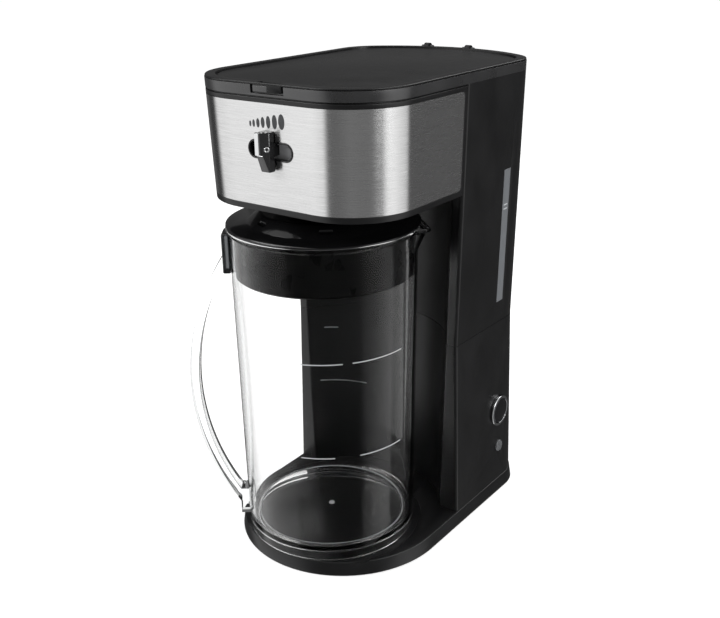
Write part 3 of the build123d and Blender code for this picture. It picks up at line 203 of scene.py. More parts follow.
@dataclass(frozen=True)
class MouldedPlastic(Finish):
    """Injection-moulded ABS: a fine spark-eroded grain with faint clouds from handling."""

    clouded: str
    grain_mm: float = 0.7
    grain_depth_mm: float = 0.02
    grain_strength: float = 0.6
    cloud_mm: float = 26.0
    cloud_stretch: float = 1.6
    roughness_spread: float = 0.06
    specular: float = 0.5
    ior: float = 1.5

    def dress(self, tree: bpy.types.NodeTree, shader: bpy.types.Node) -> None:
        """Clouds the colour and gloss and adds the grain.

        Args:
            tree: The material's node tree.
            shader: Its Principled shader.
        """
        cloud = stretched_noise(
            tree, (self.cloud_mm, self.cloud_mm, self.cloud_stretch * self.cloud_mm), 3.0)
        lay_pattern(tree, shader, cloud, colours=(self.colour, self.clouded),
                    gloss=(self.roughness - self.roughness_spread,
                           self.roughness + self.roughness_spread))
        grain = stretched_noise(tree, (self.grain_mm,) * 3, 1.0)
        lay_pattern(tree, shader, grain, relief=(self.grain_depth_mm, self.grain_strength))
        shader.inputs["IOR"].default_value = self.ior
        shader.inputs["Specular IOR Level"].default_value = self.specular


@dataclass(frozen=True)
class BrushedStainless(Finish):
    """Stainless sheet, belt-brushed along its length, so its gloss smears up and down."""

    streak: str
    streak_length_mm: float = 12.0
    streak_width_mm: float = 0.28
    fine_share: float = 0.75
    groove_mm: float = 0.002
    groove_strength: float = 0.5
    roughness_spread: float = 0.05
    anisotropy: float = 0.92
    quarter_turn: float = 0.25

    def dress(self, tree: bpy.types.NodeTree, shader: bpy.types.Node) -> None:
        """Adds level streaks to the colour, the gloss and the grooves.

        Args:
            tree: The material's node tree.
            shader: Its Principled shader.
        """
        length, width = self.streak_length_mm, self.streak_width_mm
        fine = stretched_noise(tree, (length, length, width), 3.0)
        broad = stretched_noise(tree, (2 * length, 2 * length, 3 * width), 2.0)
        fine_part = add_node(tree, "ShaderNodeMath", {"operation": "MULTIPLY"},
                             {0: fine, 1: self.fine_share})
        tone = add_node(tree, "ShaderNodeMath", {"operation": "MULTIPLY_ADD"},
                        {0: broad, 1: 1 - self.fine_share, 2: fine_part.outputs[0]})
        lay_pattern(tree, shader, tone.outputs[0], colours=(self.colour, self.streak))
        lay_pattern(tree, shader, fine, relief=(self.groove_mm, self.groove_strength),
                    gloss=(self.roughness - self.roughness_spread,
                           self.roughness + self.roughness_spread))
        tangent = add_node(tree, "ShaderNodeTangent", {"direction_type": "RADIAL", "axis": "Z"})
        tree.links.new(tangent.outputs[0], shader.inputs["Tangent"])
        shader.inputs["Metallic"].default_value = 1.0
        shader.inputs["Anisotropic"].default_value = self.anisotropy
        shader.inputs["Anisotropic Rotation"].default_value = self.quarter_turn


@dataclass(frozen=True)
class PlainMetal(Finish):
    """Plated, cast or polished metal with a fine surface of its own."""

    grain_mm: float = 0.8
    grain_depth_mm: float = 0.01
    grain_strength: float = 0.4
    roughness_share: float = 0.2

    def dress(self, tree: bpy.types.NodeTree, shader: bpy.types.Node) -> None:
        """Adds the metal and its fine grain.

        Args:
            tree: The material's node tree.
            shader: Its Principled shader.
        """
        grain = stretched_noise(tree, (self.grain_mm,) * 3, 2.0)
        lay_pattern(tree, shader, grain, relief=(self.grain_depth_mm, self.grain_strength),
                    gloss=(self.roughness * (1 - self.roughness_share),
                           self.roughness * (1 + self.roughness_share)))
        shader.inputs["Metallic"].default_value = 1.0


@dataclass(frozen=True)
class ClearPlastic(Finish):
    """Clear or frosted styrene, moulded with a faint slow ripple in its walls."""

    ior: float = 1.5
    clarity: float = 1.0
    ripple_mm: float = 30.0
    ripple_depth_mm: float = 0.03
    ripple_strength: float = 0.5
    sheen_tint: str = WHITE
    # painted shade: the colour that surfaces turning away from the eye are tinted towards
    edge: str = ""
    edge_from: float = 0.45
    edge_to: float = 0.95

    def dress(self, tree: bpy.types.NodeTree, shader: bpy.types.Node) -> None:
        """Lets light through, adds the ripple and paints shade on what turns away from the eye.

        Args:
            tree: The material's node tree.
            shader: Its Principled shader.
        """
        across = self.ripple_mm / 3
        ripple = stretched_noise(tree, (across, across, self.ripple_mm), 1.0)
        lay_pattern(tree, shader, ripple, relief=(self.ripple_depth_mm, self.ripple_strength))
        shader.inputs["IOR"].default_value = self.ior
        shader.inputs["Transmission Weight"].default_value = self.clarity
        shader.inputs["Specular Tint"].default_value = linear(self.sheen_tint)
        # painted shade where the surface turns away from the eye
        if self.edge:
            slant = add_node(tree, "ShaderNodeLayerWeight", inputs={"Blend": 0.5})
            steep = add_node(tree, "ShaderNodeMapRange", {"interpolation_type": "SMOOTHSTEP"},
                             {"Value": slant.outputs["Facing"], "From Min": self.edge_from,
                              "From Max": self.edge_to})
            lay_pattern(tree, shader, steep.outputs[0], colours=(self.colour, self.edge),
                        ends=(0.0, 1.0))


@dataclass(frozen=True)
class SoftPolymer(Finish):
    """Rubber, silicone, nylon, vinyl or ink: matt, with a slow unevenness."""

    second: str
    blotch_mm: float = 8.0
    blotch_depth_mm: float = 0.02
    blotch_strength: float = 0.4
    clarity: float = 0.0

    def dress(self, tree: bpy.types.NodeTree, shader: bpy.types.Node) -> None:
        """Adds the unevenness and a little depth.

        Args:
            tree: The material's node tree.
            shader: Its Principled shader.
        """
        blotch = stretched_noise(tree, (self.blotch_mm,) * 3, 2.0)
        lay_pattern(tree, shader, blotch, colours=(self.colour, self.second),
                    relief=(self.blotch_depth_mm, self.blotch_strength))
        shader.inputs["Transmission Weight"].default_value = self.clarity


@dataclass(frozen=True)
class WovenMesh(Finish):
    """Nylon filter mesh: threads both ways, drawn as coarse as they need to show."""

    thread: str
    pitch_mm: float = 1.2
    thread_depth_mm: float = 0.1
    thread_strength: float = 0.7

    def dress(self, tree: bpy.types.NodeTree, shader: bpy.types.Node) -> None:
        """Crosses two sets of bands and raises them.

        Args:
            tree: The material's node tree.
            shader: Its Principled shader.
        """
        place = add_node(tree, "ShaderNodeTexCoord").outputs["Object"]
        bands = []
        for direction in ("X", "Z"):
            wave = add_node(tree, "ShaderNodeTexWave", {"bands_direction": direction},
                            {"Vector": place, "Scale": BAND_PITCH / (self.pitch_mm * MM)})
            bands.append(wave.outputs[1])
        woven = add_node(tree, "ShaderNodeMath", {"operation": "MAXIMUM"},
                         {0: bands[0], 1: bands[1]})
        lay_pattern(tree, shader, woven.outputs[0], colours=(self.colour, self.thread),
                    relief=(self.thread_depth_mm, self.thread_strength), ends=(0.0, 1.0))


class Surface(Enum):
    """Every finish on the machine, by the record's slot name where it has one."""

    CASING = "casing_black"
    LID = "lid_black"
    JUG_LID = "jug_lid_black"
    STEEL = "brushed_steel"
    JUG = "clear_plastic"
    WINDOW = "window_clear"
    CHROME = "chrome"
    BUTTON = "button_gloss"
    LENS = "lens_clear"
    RUBBER = "rubber_black"
    HOSE = "silicone_hose"
    HEATER = "aluminium"
    ZINC = "zinc_steel"
    NYLON = "white_nylon"
    FILTER = "filter_mesh"
    WIRE = "wire_insulation"
    # painted light: a lighter copy of the casing's ABS
    TANK = "tank_smoke"
    BAND = "painted_lit_band"
    SHUTTER = "shutter_painted_lit_grey"
    BASKET = "basket_black"
    GRIP = "clear_grip"
    GRIP_EDGE = "clear_grip_painted_edge_shade"
    BRACKET = "clear_bracket"
    BRACKET_EDGE = "clear_bracket_painted_edge_shade"
    FACING = "lever_facing"
    LEVER = "gloss_lever"
    INK = "scale_ink"
    FROST = "raised_painted_highlight"


FINISHES = {
    # spark-eroded ABS reads as near-black with soft, wide highlights
    Surface.CASING: MouldedPlastic("abs_moulded_satin_black", "#0e0e0f", 0.34, "#131314",
                                   specular=0.45),
    # the lid's ABS has a finer grain and a little less sheen
    Surface.LID: MouldedPlastic("abs_moulded_lid_black", "#101011", 0.32, "#161617", grain_mm=0.5,
                                specular=0.35),
    # painted light: the band under the lid gets a lighter copy of the casing's ABS, standing in
    # for the front light that it faces
    Surface.BAND: MouldedPlastic("abs_moulded_painted_lit_band", "#232324", 0.3, "#2a2a2b",
                                 specular=1.0),
    # painted light: the shutter is drawn a plain mid grey, so that it reads lit inside the shaded
    # slot and shows behind the lever
    Surface.SHUTTER: MouldedPlastic("nylon_painted_lit_grey", "#8c8c8e", 0.45, "#969698"),
    # the basket's deep black shows hardly any gloss through the jug
    Surface.BASKET: MouldedPlastic("abs_moulded_deep_black", "#0b0b0c", 0.3, "#101010",
                                   grain_mm=4.0, grain_depth_mm=0.002, cloud_mm=12.0,
                                   specular=0.1),
    # the lever's gloss black shows each facet by what it mirrors
    Surface.LEVER: MouldedPlastic("abs_gloss_lever", "#1c1c1d", 0.2, "#222223", grain_mm=2.0,
                                  grain_depth_mm=0.01, roughness_spread=0.04, specular=0.9),
    # polished ABS: tight highlights on the jug's lid
    Surface.JUG_LID: MouldedPlastic("abs_polished_black", "#0c0c0d", 0.12, "#101011", grain_mm=3.0,
                                    grain_depth_mm=0.01, roughness_spread=0.03),
    # brushing draws reflections out into upright bands; the lines are drawn wide enough to show
    Surface.STEEL: BrushedStainless("stainless_belt_brushed", "#e1e1e1", 0.24, "#c8c8c8"),
    # clear styrene bends what is behind it, with only a faint painted shade on its edge
    Surface.JUG: ClearPlastic("san_clear", "#fdfdfd", 0.012, sheen_tint="#3e3e3e", edge="#f5f6f6"),
    # painted shade: a thick clear strip is tinted a little grey where its surface turns away
    Surface.GRIP: ClearPlastic("san_clear_strip", "#fafbfb", 0.02, sheen_tint="#909090",
                               edge="#f2f3f3", edge_from=0.3, edge_to=0.9),
    # painted shade: the strip's rounded corners get a grey, half-clear finish that draws its
    # outline
    Surface.GRIP_EDGE: ClearPlastic("san_clear_strip_painted_edge_shade", "#8a8c8e", 0.35, clarity=0.85),
    # painted shade: the bracket's clear block is tinted grey, darker where it turns away
    Surface.BRACKET: ClearPlastic("san_clear_block", "#5c5e60", 0.04, sheen_tint="#a0a0a0",
                                  edge="#505254", edge_from=0.3, edge_to=0.9),
    # painted shade: its rounded corners are drawn darkest of all
    Surface.BRACKET_EDGE: ClearPlastic("san_clear_block_painted_edge_shade", "#2b2d2f", 0.2, clarity=0.4),
    # frosted from behind, so the strip reads as an even mid grey
    Surface.WINDOW: ClearPlastic("san_frosted_strip", "#808387", 0.45, clarity=0.25),
    # bright plating flashes white down the lever's front; the same plating draws the beads and
    # ring that are painted highlights on its edges
    Surface.FACING: PlainMetal("abs_chrome_facing", "#e4e5e6", 0.12, grain_depth_mm=0.002),
    # plated plastic mirrors the studio in a thin bright ring
    Surface.CHROME: PlainMetal("abs_chrome_plated", "#c8c9cb", 0.08, grain_depth_mm=0.002),
    # a darker plating than the ring's, so the cap reads as a separate piece
    Surface.BUTTON: PlainMetal("abs_dark_plated", "#5d5e61", 0.16, grain_depth_mm=0.002),
    # a clouded lens, grey while its lamp is off
    Surface.LENS: ClearPlastic("pc_clear_lens", "#8e9093", 0.12, clarity=0.55),
    # moulded rubber is matt and swallows light
    Surface.RUBBER: SoftPolymer("rubber_moulded_black", "#17171a", 0.75, "#1f1f21"),
    # milky silicone lets a little light through
    Surface.HOSE: SoftPolymer("silicone_translucent", "#c9c6bd", 0.45, "#b9b6ac", clarity=0.3),
    # cast aluminium is dull, with a coarse skin
    Surface.HEATER: PlainMetal("aluminium_cast", "#b9babb", 0.45, grain_mm=1.5,
                               grain_depth_mm=0.05),
    # zinc on steel has a soft, slightly greenish shine
    Surface.ZINC: PlainMetal("steel_zinc_plated", "#b4b5b2", 0.3),
    # undyed nylon is a waxy cream
    Surface.NYLON: SoftPolymer("nylon_natural", "#d9d6cb", 0.5, "#cdcabf"),
    # black gaps between grey threads, drawn coarser than the real mesh so that they show
    Surface.FILTER: WovenMesh("nylon_filter_mesh", "#1c1c1c", 0.6, "#5a5a58"),
    # vinyl insulation has a soft red shine
    Surface.WIRE: SoftPolymer("vinyl_insulation_red", "#9c1f1a", 0.4, "#8a1814"),
    # smoked styrene darkens what stands behind it
    Surface.TANK: ClearPlastic("san_smoke", "#6b6d70", 0.3, clarity=0.6),
    # screen-printed ink sits flat on the steel
    Surface.INK: SoftPolymer("ink_screen_printed", "#404244", 0.55, "#38393b"),
    # painted highlight: the raised lines, ring and nub are real, drawn as pale, half-clear strokes
    # in place of the light they catch
    Surface.FROST: ClearPlastic("san_raised_painted_highlight", "#d5d8da", 0.5, clarity=0.15),
}


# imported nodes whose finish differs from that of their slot
OWN_SURFACE = {
    # painted light: the top frame takes the lighter copy of the casing's ABS
    "top_frame": Surface.BAND,
    # painted light: the shutter's mid grey
    "flow_shutter": Surface.SHUTTER,
    "slot_bezel": Surface.JUG_LID,
    "brew_basket": Surface.BASKET,
    "strength_lever": Surface.LEVER,
}


class Dresser:
    """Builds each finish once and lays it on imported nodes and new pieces."""

    def __init__(self, record: dict) -> None:
        """Reads which slot and body each node has.

        Args:
            record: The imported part's record.
        """
        self.slot_of = {part["node"]: part["material_slot"] for part in record["subparts"]}
        self.body_of = {node: body for body, nodes in record["behaviour"]["bodies"].items()
                        for node in nodes}
        self.materials: dict[Surface, bpy.types.Material] = {}

    def material(self, surface: Surface) -> bpy.types.Material:
        """Gives a surface's material.

        Args:
            surface: The surface.

        Returns:
            Its material, made the first time it is asked for.
        """
        if surface not in self.materials:
            self.materials[surface] = FINISHES[surface].build()
        return self.materials[surface]

    def surface(self, node: str) -> Surface:
        """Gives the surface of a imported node: its own, or else its slot's."""
        return OWN_SURFACE.get(node, Surface(self.slot_of[node]))

    def coat(self, piece: bpy.types.Object, surface: Surface) -> None:
        """Puts one material on a whole piece through its slots.

        Args:
            piece: The piece.
            surface: The surface whose material it gets.
        """
        material = self.material(surface)
        if not piece.material_slots:
            piece.data.materials.append(material)
        for material_slot in piece.material_slots:
            material_slot.material = material

    def mount(self, piece: bpy.types.Object, body: str, surface: Surface, slot: str | None = None,
              replaces: tuple[str, ...] = ()) -> bpy.types.Object:
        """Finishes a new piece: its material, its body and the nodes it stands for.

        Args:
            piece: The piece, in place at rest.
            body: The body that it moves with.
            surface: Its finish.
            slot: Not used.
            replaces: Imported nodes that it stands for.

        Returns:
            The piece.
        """
        self.coat(piece, surface)
        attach(piece, body)
        if replaces:
            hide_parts(*replaces)
        LOG.info("%s rides on %s", piece.name, body)
        return piece

    def round_edges(self, piece: bpy.types.Object, surface: Surface, width: float) -> None:
        """Rounds a mounted piece's sharp edges and gives the rounding its own surface.

        Args:
            piece: The piece, already mounted.
            surface: The finish of the rounded edges.
            width: How wide the rounding is, in metres.
        """
        piece.data.materials.append(self.material(surface))
        with_modifier(piece, "BEVEL", width=width, segments=4, limit_method="ANGLE",
                      angle_limit=math.radians(40), use_clamp_overlap=True, material=1)
        smooth(piece, 45.0)


# ---------------------------------------------------------------------------------------------
# modelling
# ---------------------------------------------------------------------------------------------
def pick_only(piece: bpy.types.Object) -> None:
    """Deselects everything, then selects one piece and makes it the active one.

    Args:
        piece: The piece.
    """
    bpy.ops.object.select_all(action="DESELECT")
    piece.select_set(True)
    bpy.context.view_layer.objects.active = piece


def settle(piece: bpy.types.Object) -> bpy.types.Object:
    """Moves a piece's place into its mesh, so that its object sits at the origin.

    Args:
        piece: The piece.

    Returns:
        The same piece.
    """
    pick_only(piece)
    bpy.ops.object.transform_apply(location=True, rotation=True, scale=True)
    return piece


def with_modifier(piece: bpy.types.Object, kind: str, **settings) -> None:
    """Adds a modifier to a piece, sets it and applies it.

    Args:
        piece: The piece.
        kind: Blender's name for the kind of modifier.
        **settings: Properties of the modifier, by name.
    """
    pick_only(piece)
    modifier = piece.modifiers.new(kind.lower(), kind)
    for name, value in settings.items():
        setattr(modifier, name, value)
    bpy.ops.object.modifier_apply(modifier=modifier.name)


def smooth(piece: bpy.types.Object, angle_deg: float = 35.0) -> None:
    """Shades a piece smooth except across edges sharper than an angle.

    Args:
        piece: The piece.
        angle_deg: Edges that turn more than this stay sharp.
    """
    pick_only(piece)
    bpy.ops.object.shade_smooth_by_angle(angle=math.radians(angle_deg))


def start_box(name: str, spot: tuple[float, float, float],
              size: tuple[float, float, float]) -> bpy.types.Object:
    """Adds a box at its place and size, ready to be shaped.

    Args:
        name: Name of the new piece.
        spot: Its middle, in metres.
        size: Its three lengths, in metres.

    Returns:
        The box, with its place in its mesh.
    """
    bpy.ops.object.select_all(action="DESELECT")
    bpy.ops.mesh.primitive_cube_add(size=1, location=spot)
    piece = bpy.context.object
    piece.name = piece.data.name = name
    piece.scale = size
    return settle(piece)


def joined(pieces: list[bpy.types.Object], name: str) -> bpy.types.Object:
    """Joins pieces into one.

    Args:
        pieces: The pieces, the first of which takes in the others.
        name: Name of the joined piece.

    Returns:
        The joined piece.
    """
    bpy.ops.object.select_all(action="DESELECT")
    for piece in pieces:
        piece.select_set(True)
    bpy.context.view_layer.objects.active = pieces[0]
    bpy.ops.object.join()
    pieces[0].name = pieces[0].data.name = name
    return pieces[0]


def close_swept(merge_mm: float) -> None:
    """Merges the doubles of a spun mesh, turns its faces outwards and leaves edit mode.

    Args:
        merge_mm: How near two points are when they count as one.
    """
    bpy.ops.mesh.select_all(action="SELECT")
    bpy.ops.mesh.remove_doubles(threshold=merge_mm * MM)
    bpy.ops.mesh.normals_make_consistent(inside=False)
    bpy.ops.object.mode_set(mode="OBJECT")


def drawn_profile(name: str, points: list[tuple[float, float]], rounds: dict[int, float],
                  closed: bool) -> bpy.types.Object:
    """Draws a half section by extruding one point, then rounds some of its corners.

    Args:
        name: Name of the new piece.
        points: Radius and height of each corner in millimetres, from bottom to top.
        rounds: Radius in millimetres for the corners with these numbers.
        closed: True joins the last corner to the first.

    Returns:
        A piece that holds the section in the XZ plane.
    """
    bpy.ops.object.select_all(action="DESELECT")
    bpy.ops.mesh.primitive_plane_add(size=MM, location=(0, 0, 0))
    piece = bpy.context.object
    piece.name = piece.data.name = name
    bpy.ops.object.mode_set(mode="EDIT")
    bpy.ops.mesh.select_mode(type="VERT")
    bpy.ops.mesh.merge(type="CENTER")
    here = Vector((0, 0, 0))
    for i, (radius, height) in enumerate(points):
        there = Vector((radius, 0, height)) * MM
        step = tuple(there - here)
        if i == 0:
            bpy.ops.transform.translate(value=step)
        else:
            bpy.ops.mesh.extrude_vertices_move(TRANSFORM_OT_translate={"value": step})
        here = there
    if closed:
        bpy.ops.object.mode_set(mode="OBJECT")
        for i in (0, len(points) - 1):
            piece.data.vertices[i].select = True
        bpy.ops.object.mode_set(mode="EDIT")
        bpy.ops.mesh.edge_face_add()
    round_corners(piece, points, rounds)
    bpy.ops.object.mode_set(mode="OBJECT")
    return piece


def round_corners(piece: bpy.types.Object, points: list[tuple[float, float]],
                  rounds: dict[int, float]) -> None:
    """Rounds corners of a section in edit mode, each found again by its place.

    Args:
        piece: The piece that holds the section.
        points: Radius and height of each corner in millimetres.
        rounds: Radius in millimetres for the corners with these numbers.
    """
    for number, radius in rounds.items():
        corner = Vector((points[number][0], 0, points[number][1])) * MM
        bpy.ops.mesh.select_all(action="DESELECT")
        bpy.ops.object.mode_set(mode="OBJECT")
        for vertex in piece.data.vertices:
            vertex.select = (vertex.co - corner).length < SAME_CORNER
        bpy.ops.object.mode_set(mode="EDIT")
        bpy.ops.mesh.bevel(offset=radius * MM, offset_type="OFFSET", segments=5,
                           affect="VERTICES", clamp_overlap=True)


def turned(piece: bpy.types.Object, steps: int, axis_xy: tuple[float, float]) -> bpy.types.Object:
    """Spins a section into a closed solid about an upright axis and turns its faces outwards.

    Args:
        piece: A piece that holds the section about the origin's axis.
        steps: Faces round the full turn.
        axis_xy: Where the axis stands, in metres.

    Returns:
        The same piece, now solid and in place.
    """
    pick_only(piece)
    bpy.ops.object.mode_set(mode="EDIT")
    bpy.ops.mesh.select_all(action="SELECT")
    bpy.ops.mesh.spin(steps=steps, angle=FULL_TURN, center=(0, 0, 0), axis=(0, 0, 1))
    close_swept(merge_mm=0.02)
    piece.location = (*axis_xy, 0)
    return settle(piece)


@dataclass
class SoftenedNode:
    """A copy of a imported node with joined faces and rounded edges."""

    dresser: Dresser
    merge_mm: float = 0.002
    flat_deg: float = 0.4
    sharp_deg: float = 38.0
    segments: int = 3

    def make(self, node: str, edge_mm: float, name: str) -> None:
        """Copies a node, rounds its edges and lets the copy stand for it.

        Args:
            node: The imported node.
            edge_mm: Width of the rounding.
            name: Name of the new piece.
        """
        piece = bpy.data.objects.new(name, frame["nodes"][node].data.copy())
        bpy.context.scene.collection.objects.link(piece)
        piece.data.name = name
        pick_only(piece)
        bpy.ops.object.mode_set(mode="EDIT")
        bpy.ops.mesh.select_all(action="SELECT")
        bpy.ops.mesh.remove_doubles(threshold=self.merge_mm * MM)
        bpy.ops.mesh.dissolve_limited(angle_limit=math.radians(self.flat_deg))
        bpy.ops.object.mode_set(mode="OBJECT")
        with_modifier(piece, "BEVEL", width=edge_mm * MM, segments=self.segments,
                      limit_method="ANGLE", angle_limit=math.radians(self.sharp_deg),
                      use_clamp_overlap=True, miter_outer="MITER_ARC")
        smooth(piece)
        self.dresser.mount(piece, self.dresser.body_of[node], self.dresser.surface(node),
                           self.dresser.slot_of[node], (node,))


# ---------------------------------------------------------------------------------------------
# jug
# ---------------------------------------------------------------------------------------------
@dataclass
class Jug:
    """The clear jug: a spun shell with a pouring lip, a bowed handle and raised level lines."""

    dresser: Dresser
    axis_y: float = -53.5
    foot_z: float = 11.0
    foot_r: float = 60.1
    recess_z: float = 17.0
    floor_z: float = 20.0
    neck_z: float = 231.8
    neck_r: float = 62.8
    rim_z: float = 235.4
    rim_r: float = 64.6
    wall: float = 2.2
    recess_in: float = 2.0
    foot_in: float = 1.0
    rim_step: float = 1.2
    ledge: float = 1.0
    # radius in millimetres by the number of the section's corner
    rounds: tuple[tuple[int, float], ...] = (
        (1, 2.0), (2, 0.9), (3, 1.2), (5, 0.6), (6, 0.6), (7, 0.7), (8, 0.6), (9, 0.3),
        (10, 0.3), (12, 5.0))
    spout_deg: float = 28.0
    spout_reach: float = 6.4
    spout_drop: float = 3.0
    spout_size: float = 13.0
    spout_from: float = 1.5
    spout_half_width: float = 1.5
    spout_depth: float = 4.0
    spout_root_z: float = 218.0
    handle_deg: float = 217.0
    bow_r: float = 168.0
    bow_centre_r: float = -72.5
    bow_mid_z: float = 121.0
    bow_ends_z: tuple[float, float] = (24.0, 214.0)
    bow_thick: float = 6.0
    bow_width: float = 12.0
    bow_edge: float = 1.3
    bracket_r: tuple[float, float] = (62.2, 67.6)
    bracket_width: float = 16.0
    bracket_z: tuple[float, float] = (202.0, 229.5)
    bracket_edge: float = 1.1
    lug_r: tuple[float, float] = (59.5, 66.0)
    lug_width: float = 12.0
    lug_z: tuple[float, float] = (16.0, 36.0)
    steps: int = 216
    floor_ring_r: float = 52.6
    floor_ring_half: tuple[float, float] = (0.5, 0.3)
    floor_ring_proud: float = 0.5
    floor_sunk: float = 0.2
    nub_r: tuple[float, float] = (2.2, 1.6)
    nub_proud: tuple[float, float] = (0.9, 1.1)
    line_proud: float = 0.1
    line_thick: float = 0.3
    line_tall: float = 0.6
    line_step_deg: float = 2.5
    # height, start and end of each level line round the jug
    lines: tuple[tuple[float, float, float], ...] = (
        (158.8, -67.0, -42.0), (158.8, -36.0, 0.0), (135.0, 121.0, 131.0), (91.3, -69.0, -48.0),
        (91.3, -32.0, 0.0), (91.3, 100.0, 135.0))

    def build(self) -> None:
        """Makes every clear piece of the jug."""
        self.shell()
        self.handle()
        self.level_lines()
        self.floor_marks()

    def outer_r(self, z: float) -> float:
        """The wall's outer radius at a height, in millimetres."""
        share = (z - self.foot_z) / (self.neck_z - self.foot_z)
        return self.foot_r + (self.neck_r - self.foot_r) * share

    def shell(self) -> None:
        """Spins the wall, floor and rim, then draws out the pouring lip."""
        inner_floor = self.outer_r(self.floor_z) - self.wall
        root_r, ledge_z = self.outer_r(self.spout_root_z), self.neck_z + self.ledge
        points = [
            (0.0, self.recess_z), (inner_floor - self.recess_in, self.recess_z),
            (self.foot_r - self.wall - self.foot_in, self.foot_z), (self.foot_r, self.foot_z),
            (root_r, self.spout_root_z), (self.neck_r, self.neck_z),
            (self.rim_r, self.neck_z + self.rim_step), (self.rim_r, self.rim_z),
            (self.rim_r - self.wall, self.rim_z), (self.rim_r - self.wall, ledge_z),
            (self.neck_r - self.wall, ledge_z), (root_r - self.wall, self.spout_root_z),
            (inner_floor, self.floor_z), (0.0, self.floor_z)]
        piece = drawn_profile("jug_shell", points, dict(self.rounds), closed=False)
        turned(piece, self.steps, (0, self.axis_y * MM))
        self.draw_lip(piece)
        smooth(piece, 50.0)
        self.dresser.mount(piece, "jug", Surface.JUG, replaces=("jug_body",))

    def floor_marks(self) -> None:
        """Adds the raised ring round the jug's floor and the moulding nub in its middle."""
        middle = (0, self.axis_y * MM)
        radius, foot = self.floor_ring_r, self.floor_z - self.floor_sunk
        top = self.floor_z + self.floor_ring_proud
        foot_half, top_half = self.floor_ring_half
        ring = drawn_profile("floor_marks", [
            (radius - foot_half, foot), (radius + foot_half, foot), (radius + top_half, top),
            (radius - top_half, top)], {}, closed=True)
        turned(ring, 128, middle)
        nub = drawn_profile("floor_nub", [
            (0.0, foot), (self.nub_r[0], foot), (self.nub_r[1], self.floor_z + self.nub_proud[0]),
            (0.0, self.floor_z + self.nub_proud[1])], {}, closed=False)
        turned(nub, 32, middle)
        ring = joined([ring, nub], "floor_marks")
        smooth(ring, 50.0)
        # the floor ring and nub are real; their pale finish is a painted highlight
        self.dresser.mount(ring, "jug", Surface.FROST, Surface.JUG.value)

    def draw_lip(self, piece: bpy.types.Object) -> None:
        """Pulls the rim outwards and down into a small pouring lip.

        Args:
            piece: The spun shell.
        """
        turn = math.radians(self.spout_deg)
        out = Vector((math.cos(turn), math.sin(turn), 0))
        tip = Vector((0, self.axis_y, 0)) * MM + out * self.rim_r * MM
        pick_only(piece)
        bpy.ops.object.mode_set(mode="EDIT")
        bpy.ops.mesh.select_all(action="DESELECT")
        bpy.ops.object.mode_set(mode="OBJECT")
        for vertex in piece.data.vertices:
            flat = Vector((vertex.co.x, vertex.co.y, 0)) - tip
            side = abs(flat.x * out.y - flat.y * out.x)
            vertex.select = (vertex.co.z > (self.neck_z + self.spout_from) * MM
                             and side < self.spout_half_width * MM
                             and flat.length < self.spout_depth * MM)
        bpy.ops.object.mode_set(mode="EDIT")
        bpy.ops.transform.translate(
            value=tuple(out * self.spout_reach * MM - Vector((0, 0, self.spout_drop * MM))),
            use_proportional_edit=True, use_proportional_connected=False,
            proportional_edit_falloff="LINEAR", proportional_size=self.spout_size * MM)
        bpy.ops.object.mode_set(mode="OBJECT")

    def handle(self) -> None:
        """Sweeps the bowed strip, joins it to its lug and sets it against its bracket."""
        strip = self.bow()
        bracket = self.block("jug_bracket", self.bracket_r, self.bracket_width, self.bracket_z)
        lug = self.block("jug_lug", self.lug_r, self.lug_width, self.lug_z)
        with_modifier(strip, "BOOLEAN", operation="UNION", object=lug, solver="EXACT")
        with_modifier(strip, "BOOLEAN", operation="DIFFERENCE", object=bracket, solver="EXACT")
        bpy.data.objects.remove(lug)
        for piece in (strip, bracket):
            piece.rotation_euler = (0, 0, math.radians(self.handle_deg))
            piece.location = (0, self.axis_y * MM, 0)
            settle(piece)
        self.dresser.mount(strip, "jug", Surface.GRIP, Surface.JUG.value, ("jug_handle",))
        # painted shade: the strip's rounded corners are drawn grey to show its outline
        self.dresser.round_edges(strip, Surface.GRIP_EDGE, self.bow_edge * MM)
        # painted shade: the bracket's grey block and its darker rounded corners
        self.dresser.mount(bracket, "jug", Surface.BRACKET, Surface.JUG.value)
        self.dresser.round_edges(bracket, Surface.BRACKET_EDGE, self.bracket_edge * MM)

    def bow(self) -> bpy.types.Object:
        """Spins a small rectangle along the handle's arc.

        Returns:
            The strip, made along +X of the jug's axis.
        """
        mid_r = self.bow_r - self.bow_thick / 2
        low, high = (math.asin((z - self.bow_mid_z) / mid_r) for z in self.bow_ends_z)
        start = Vector((self.bow_centre_r + mid_r * math.cos(low), 0,
                        self.bow_mid_z + mid_r * math.sin(low))) * MM
        bpy.ops.object.select_all(action="DESELECT")
        bpy.ops.mesh.primitive_plane_add(size=1, location=start, rotation=(0, -low, 0))
        strip = bpy.context.object
        strip.name = strip.data.name = "jug_grip"
        strip.scale = (self.bow_thick * MM, self.bow_width * MM, 1)
        settle(strip)
        bpy.ops.object.mode_set(mode="EDIT")
        bpy.ops.mesh.select_all(action="SELECT")
        centre = Vector((self.bow_centre_r, 0, self.bow_mid_z)) * MM
        bpy.ops.mesh.spin(steps=48, angle=high - low, center=tuple(centre), axis=(0, 1, 0))
        close_swept(merge_mm=0.01)
        return strip

    def block(self, name: str, radii: tuple[float, float], width: float,
              heights: tuple[float, float]) -> bpy.types.Object:
        """Starts a block that stands against the jug's wall.

        Args:
            name: Name of the new piece.
            radii: How far its inner and outer faces are from the jug's axis.
            width: Its width.
            heights: Where it starts and ends, all in millimetres.

        Returns:
            The block, made along +X of the jug's axis.
        """
        size = ((radii[1] - radii[0]) * MM, width * MM, (heights[1] - heights[0]) * MM)
        return start_box(name, (sum(radii) / 2 * MM, 0, sum(heights) / 2 * MM), size)

    def level_lines(self) -> None:
        """Raises the level lines a hair above the wall and joins them into one piece."""
        piece = joined([self.stroke(*line) for line in self.lines], "level_lines")
        # the level lines are real; their pale finish is a painted highlight
        self.dresser.mount(piece, "jug", Surface.FROST, Surface.JUG.value)

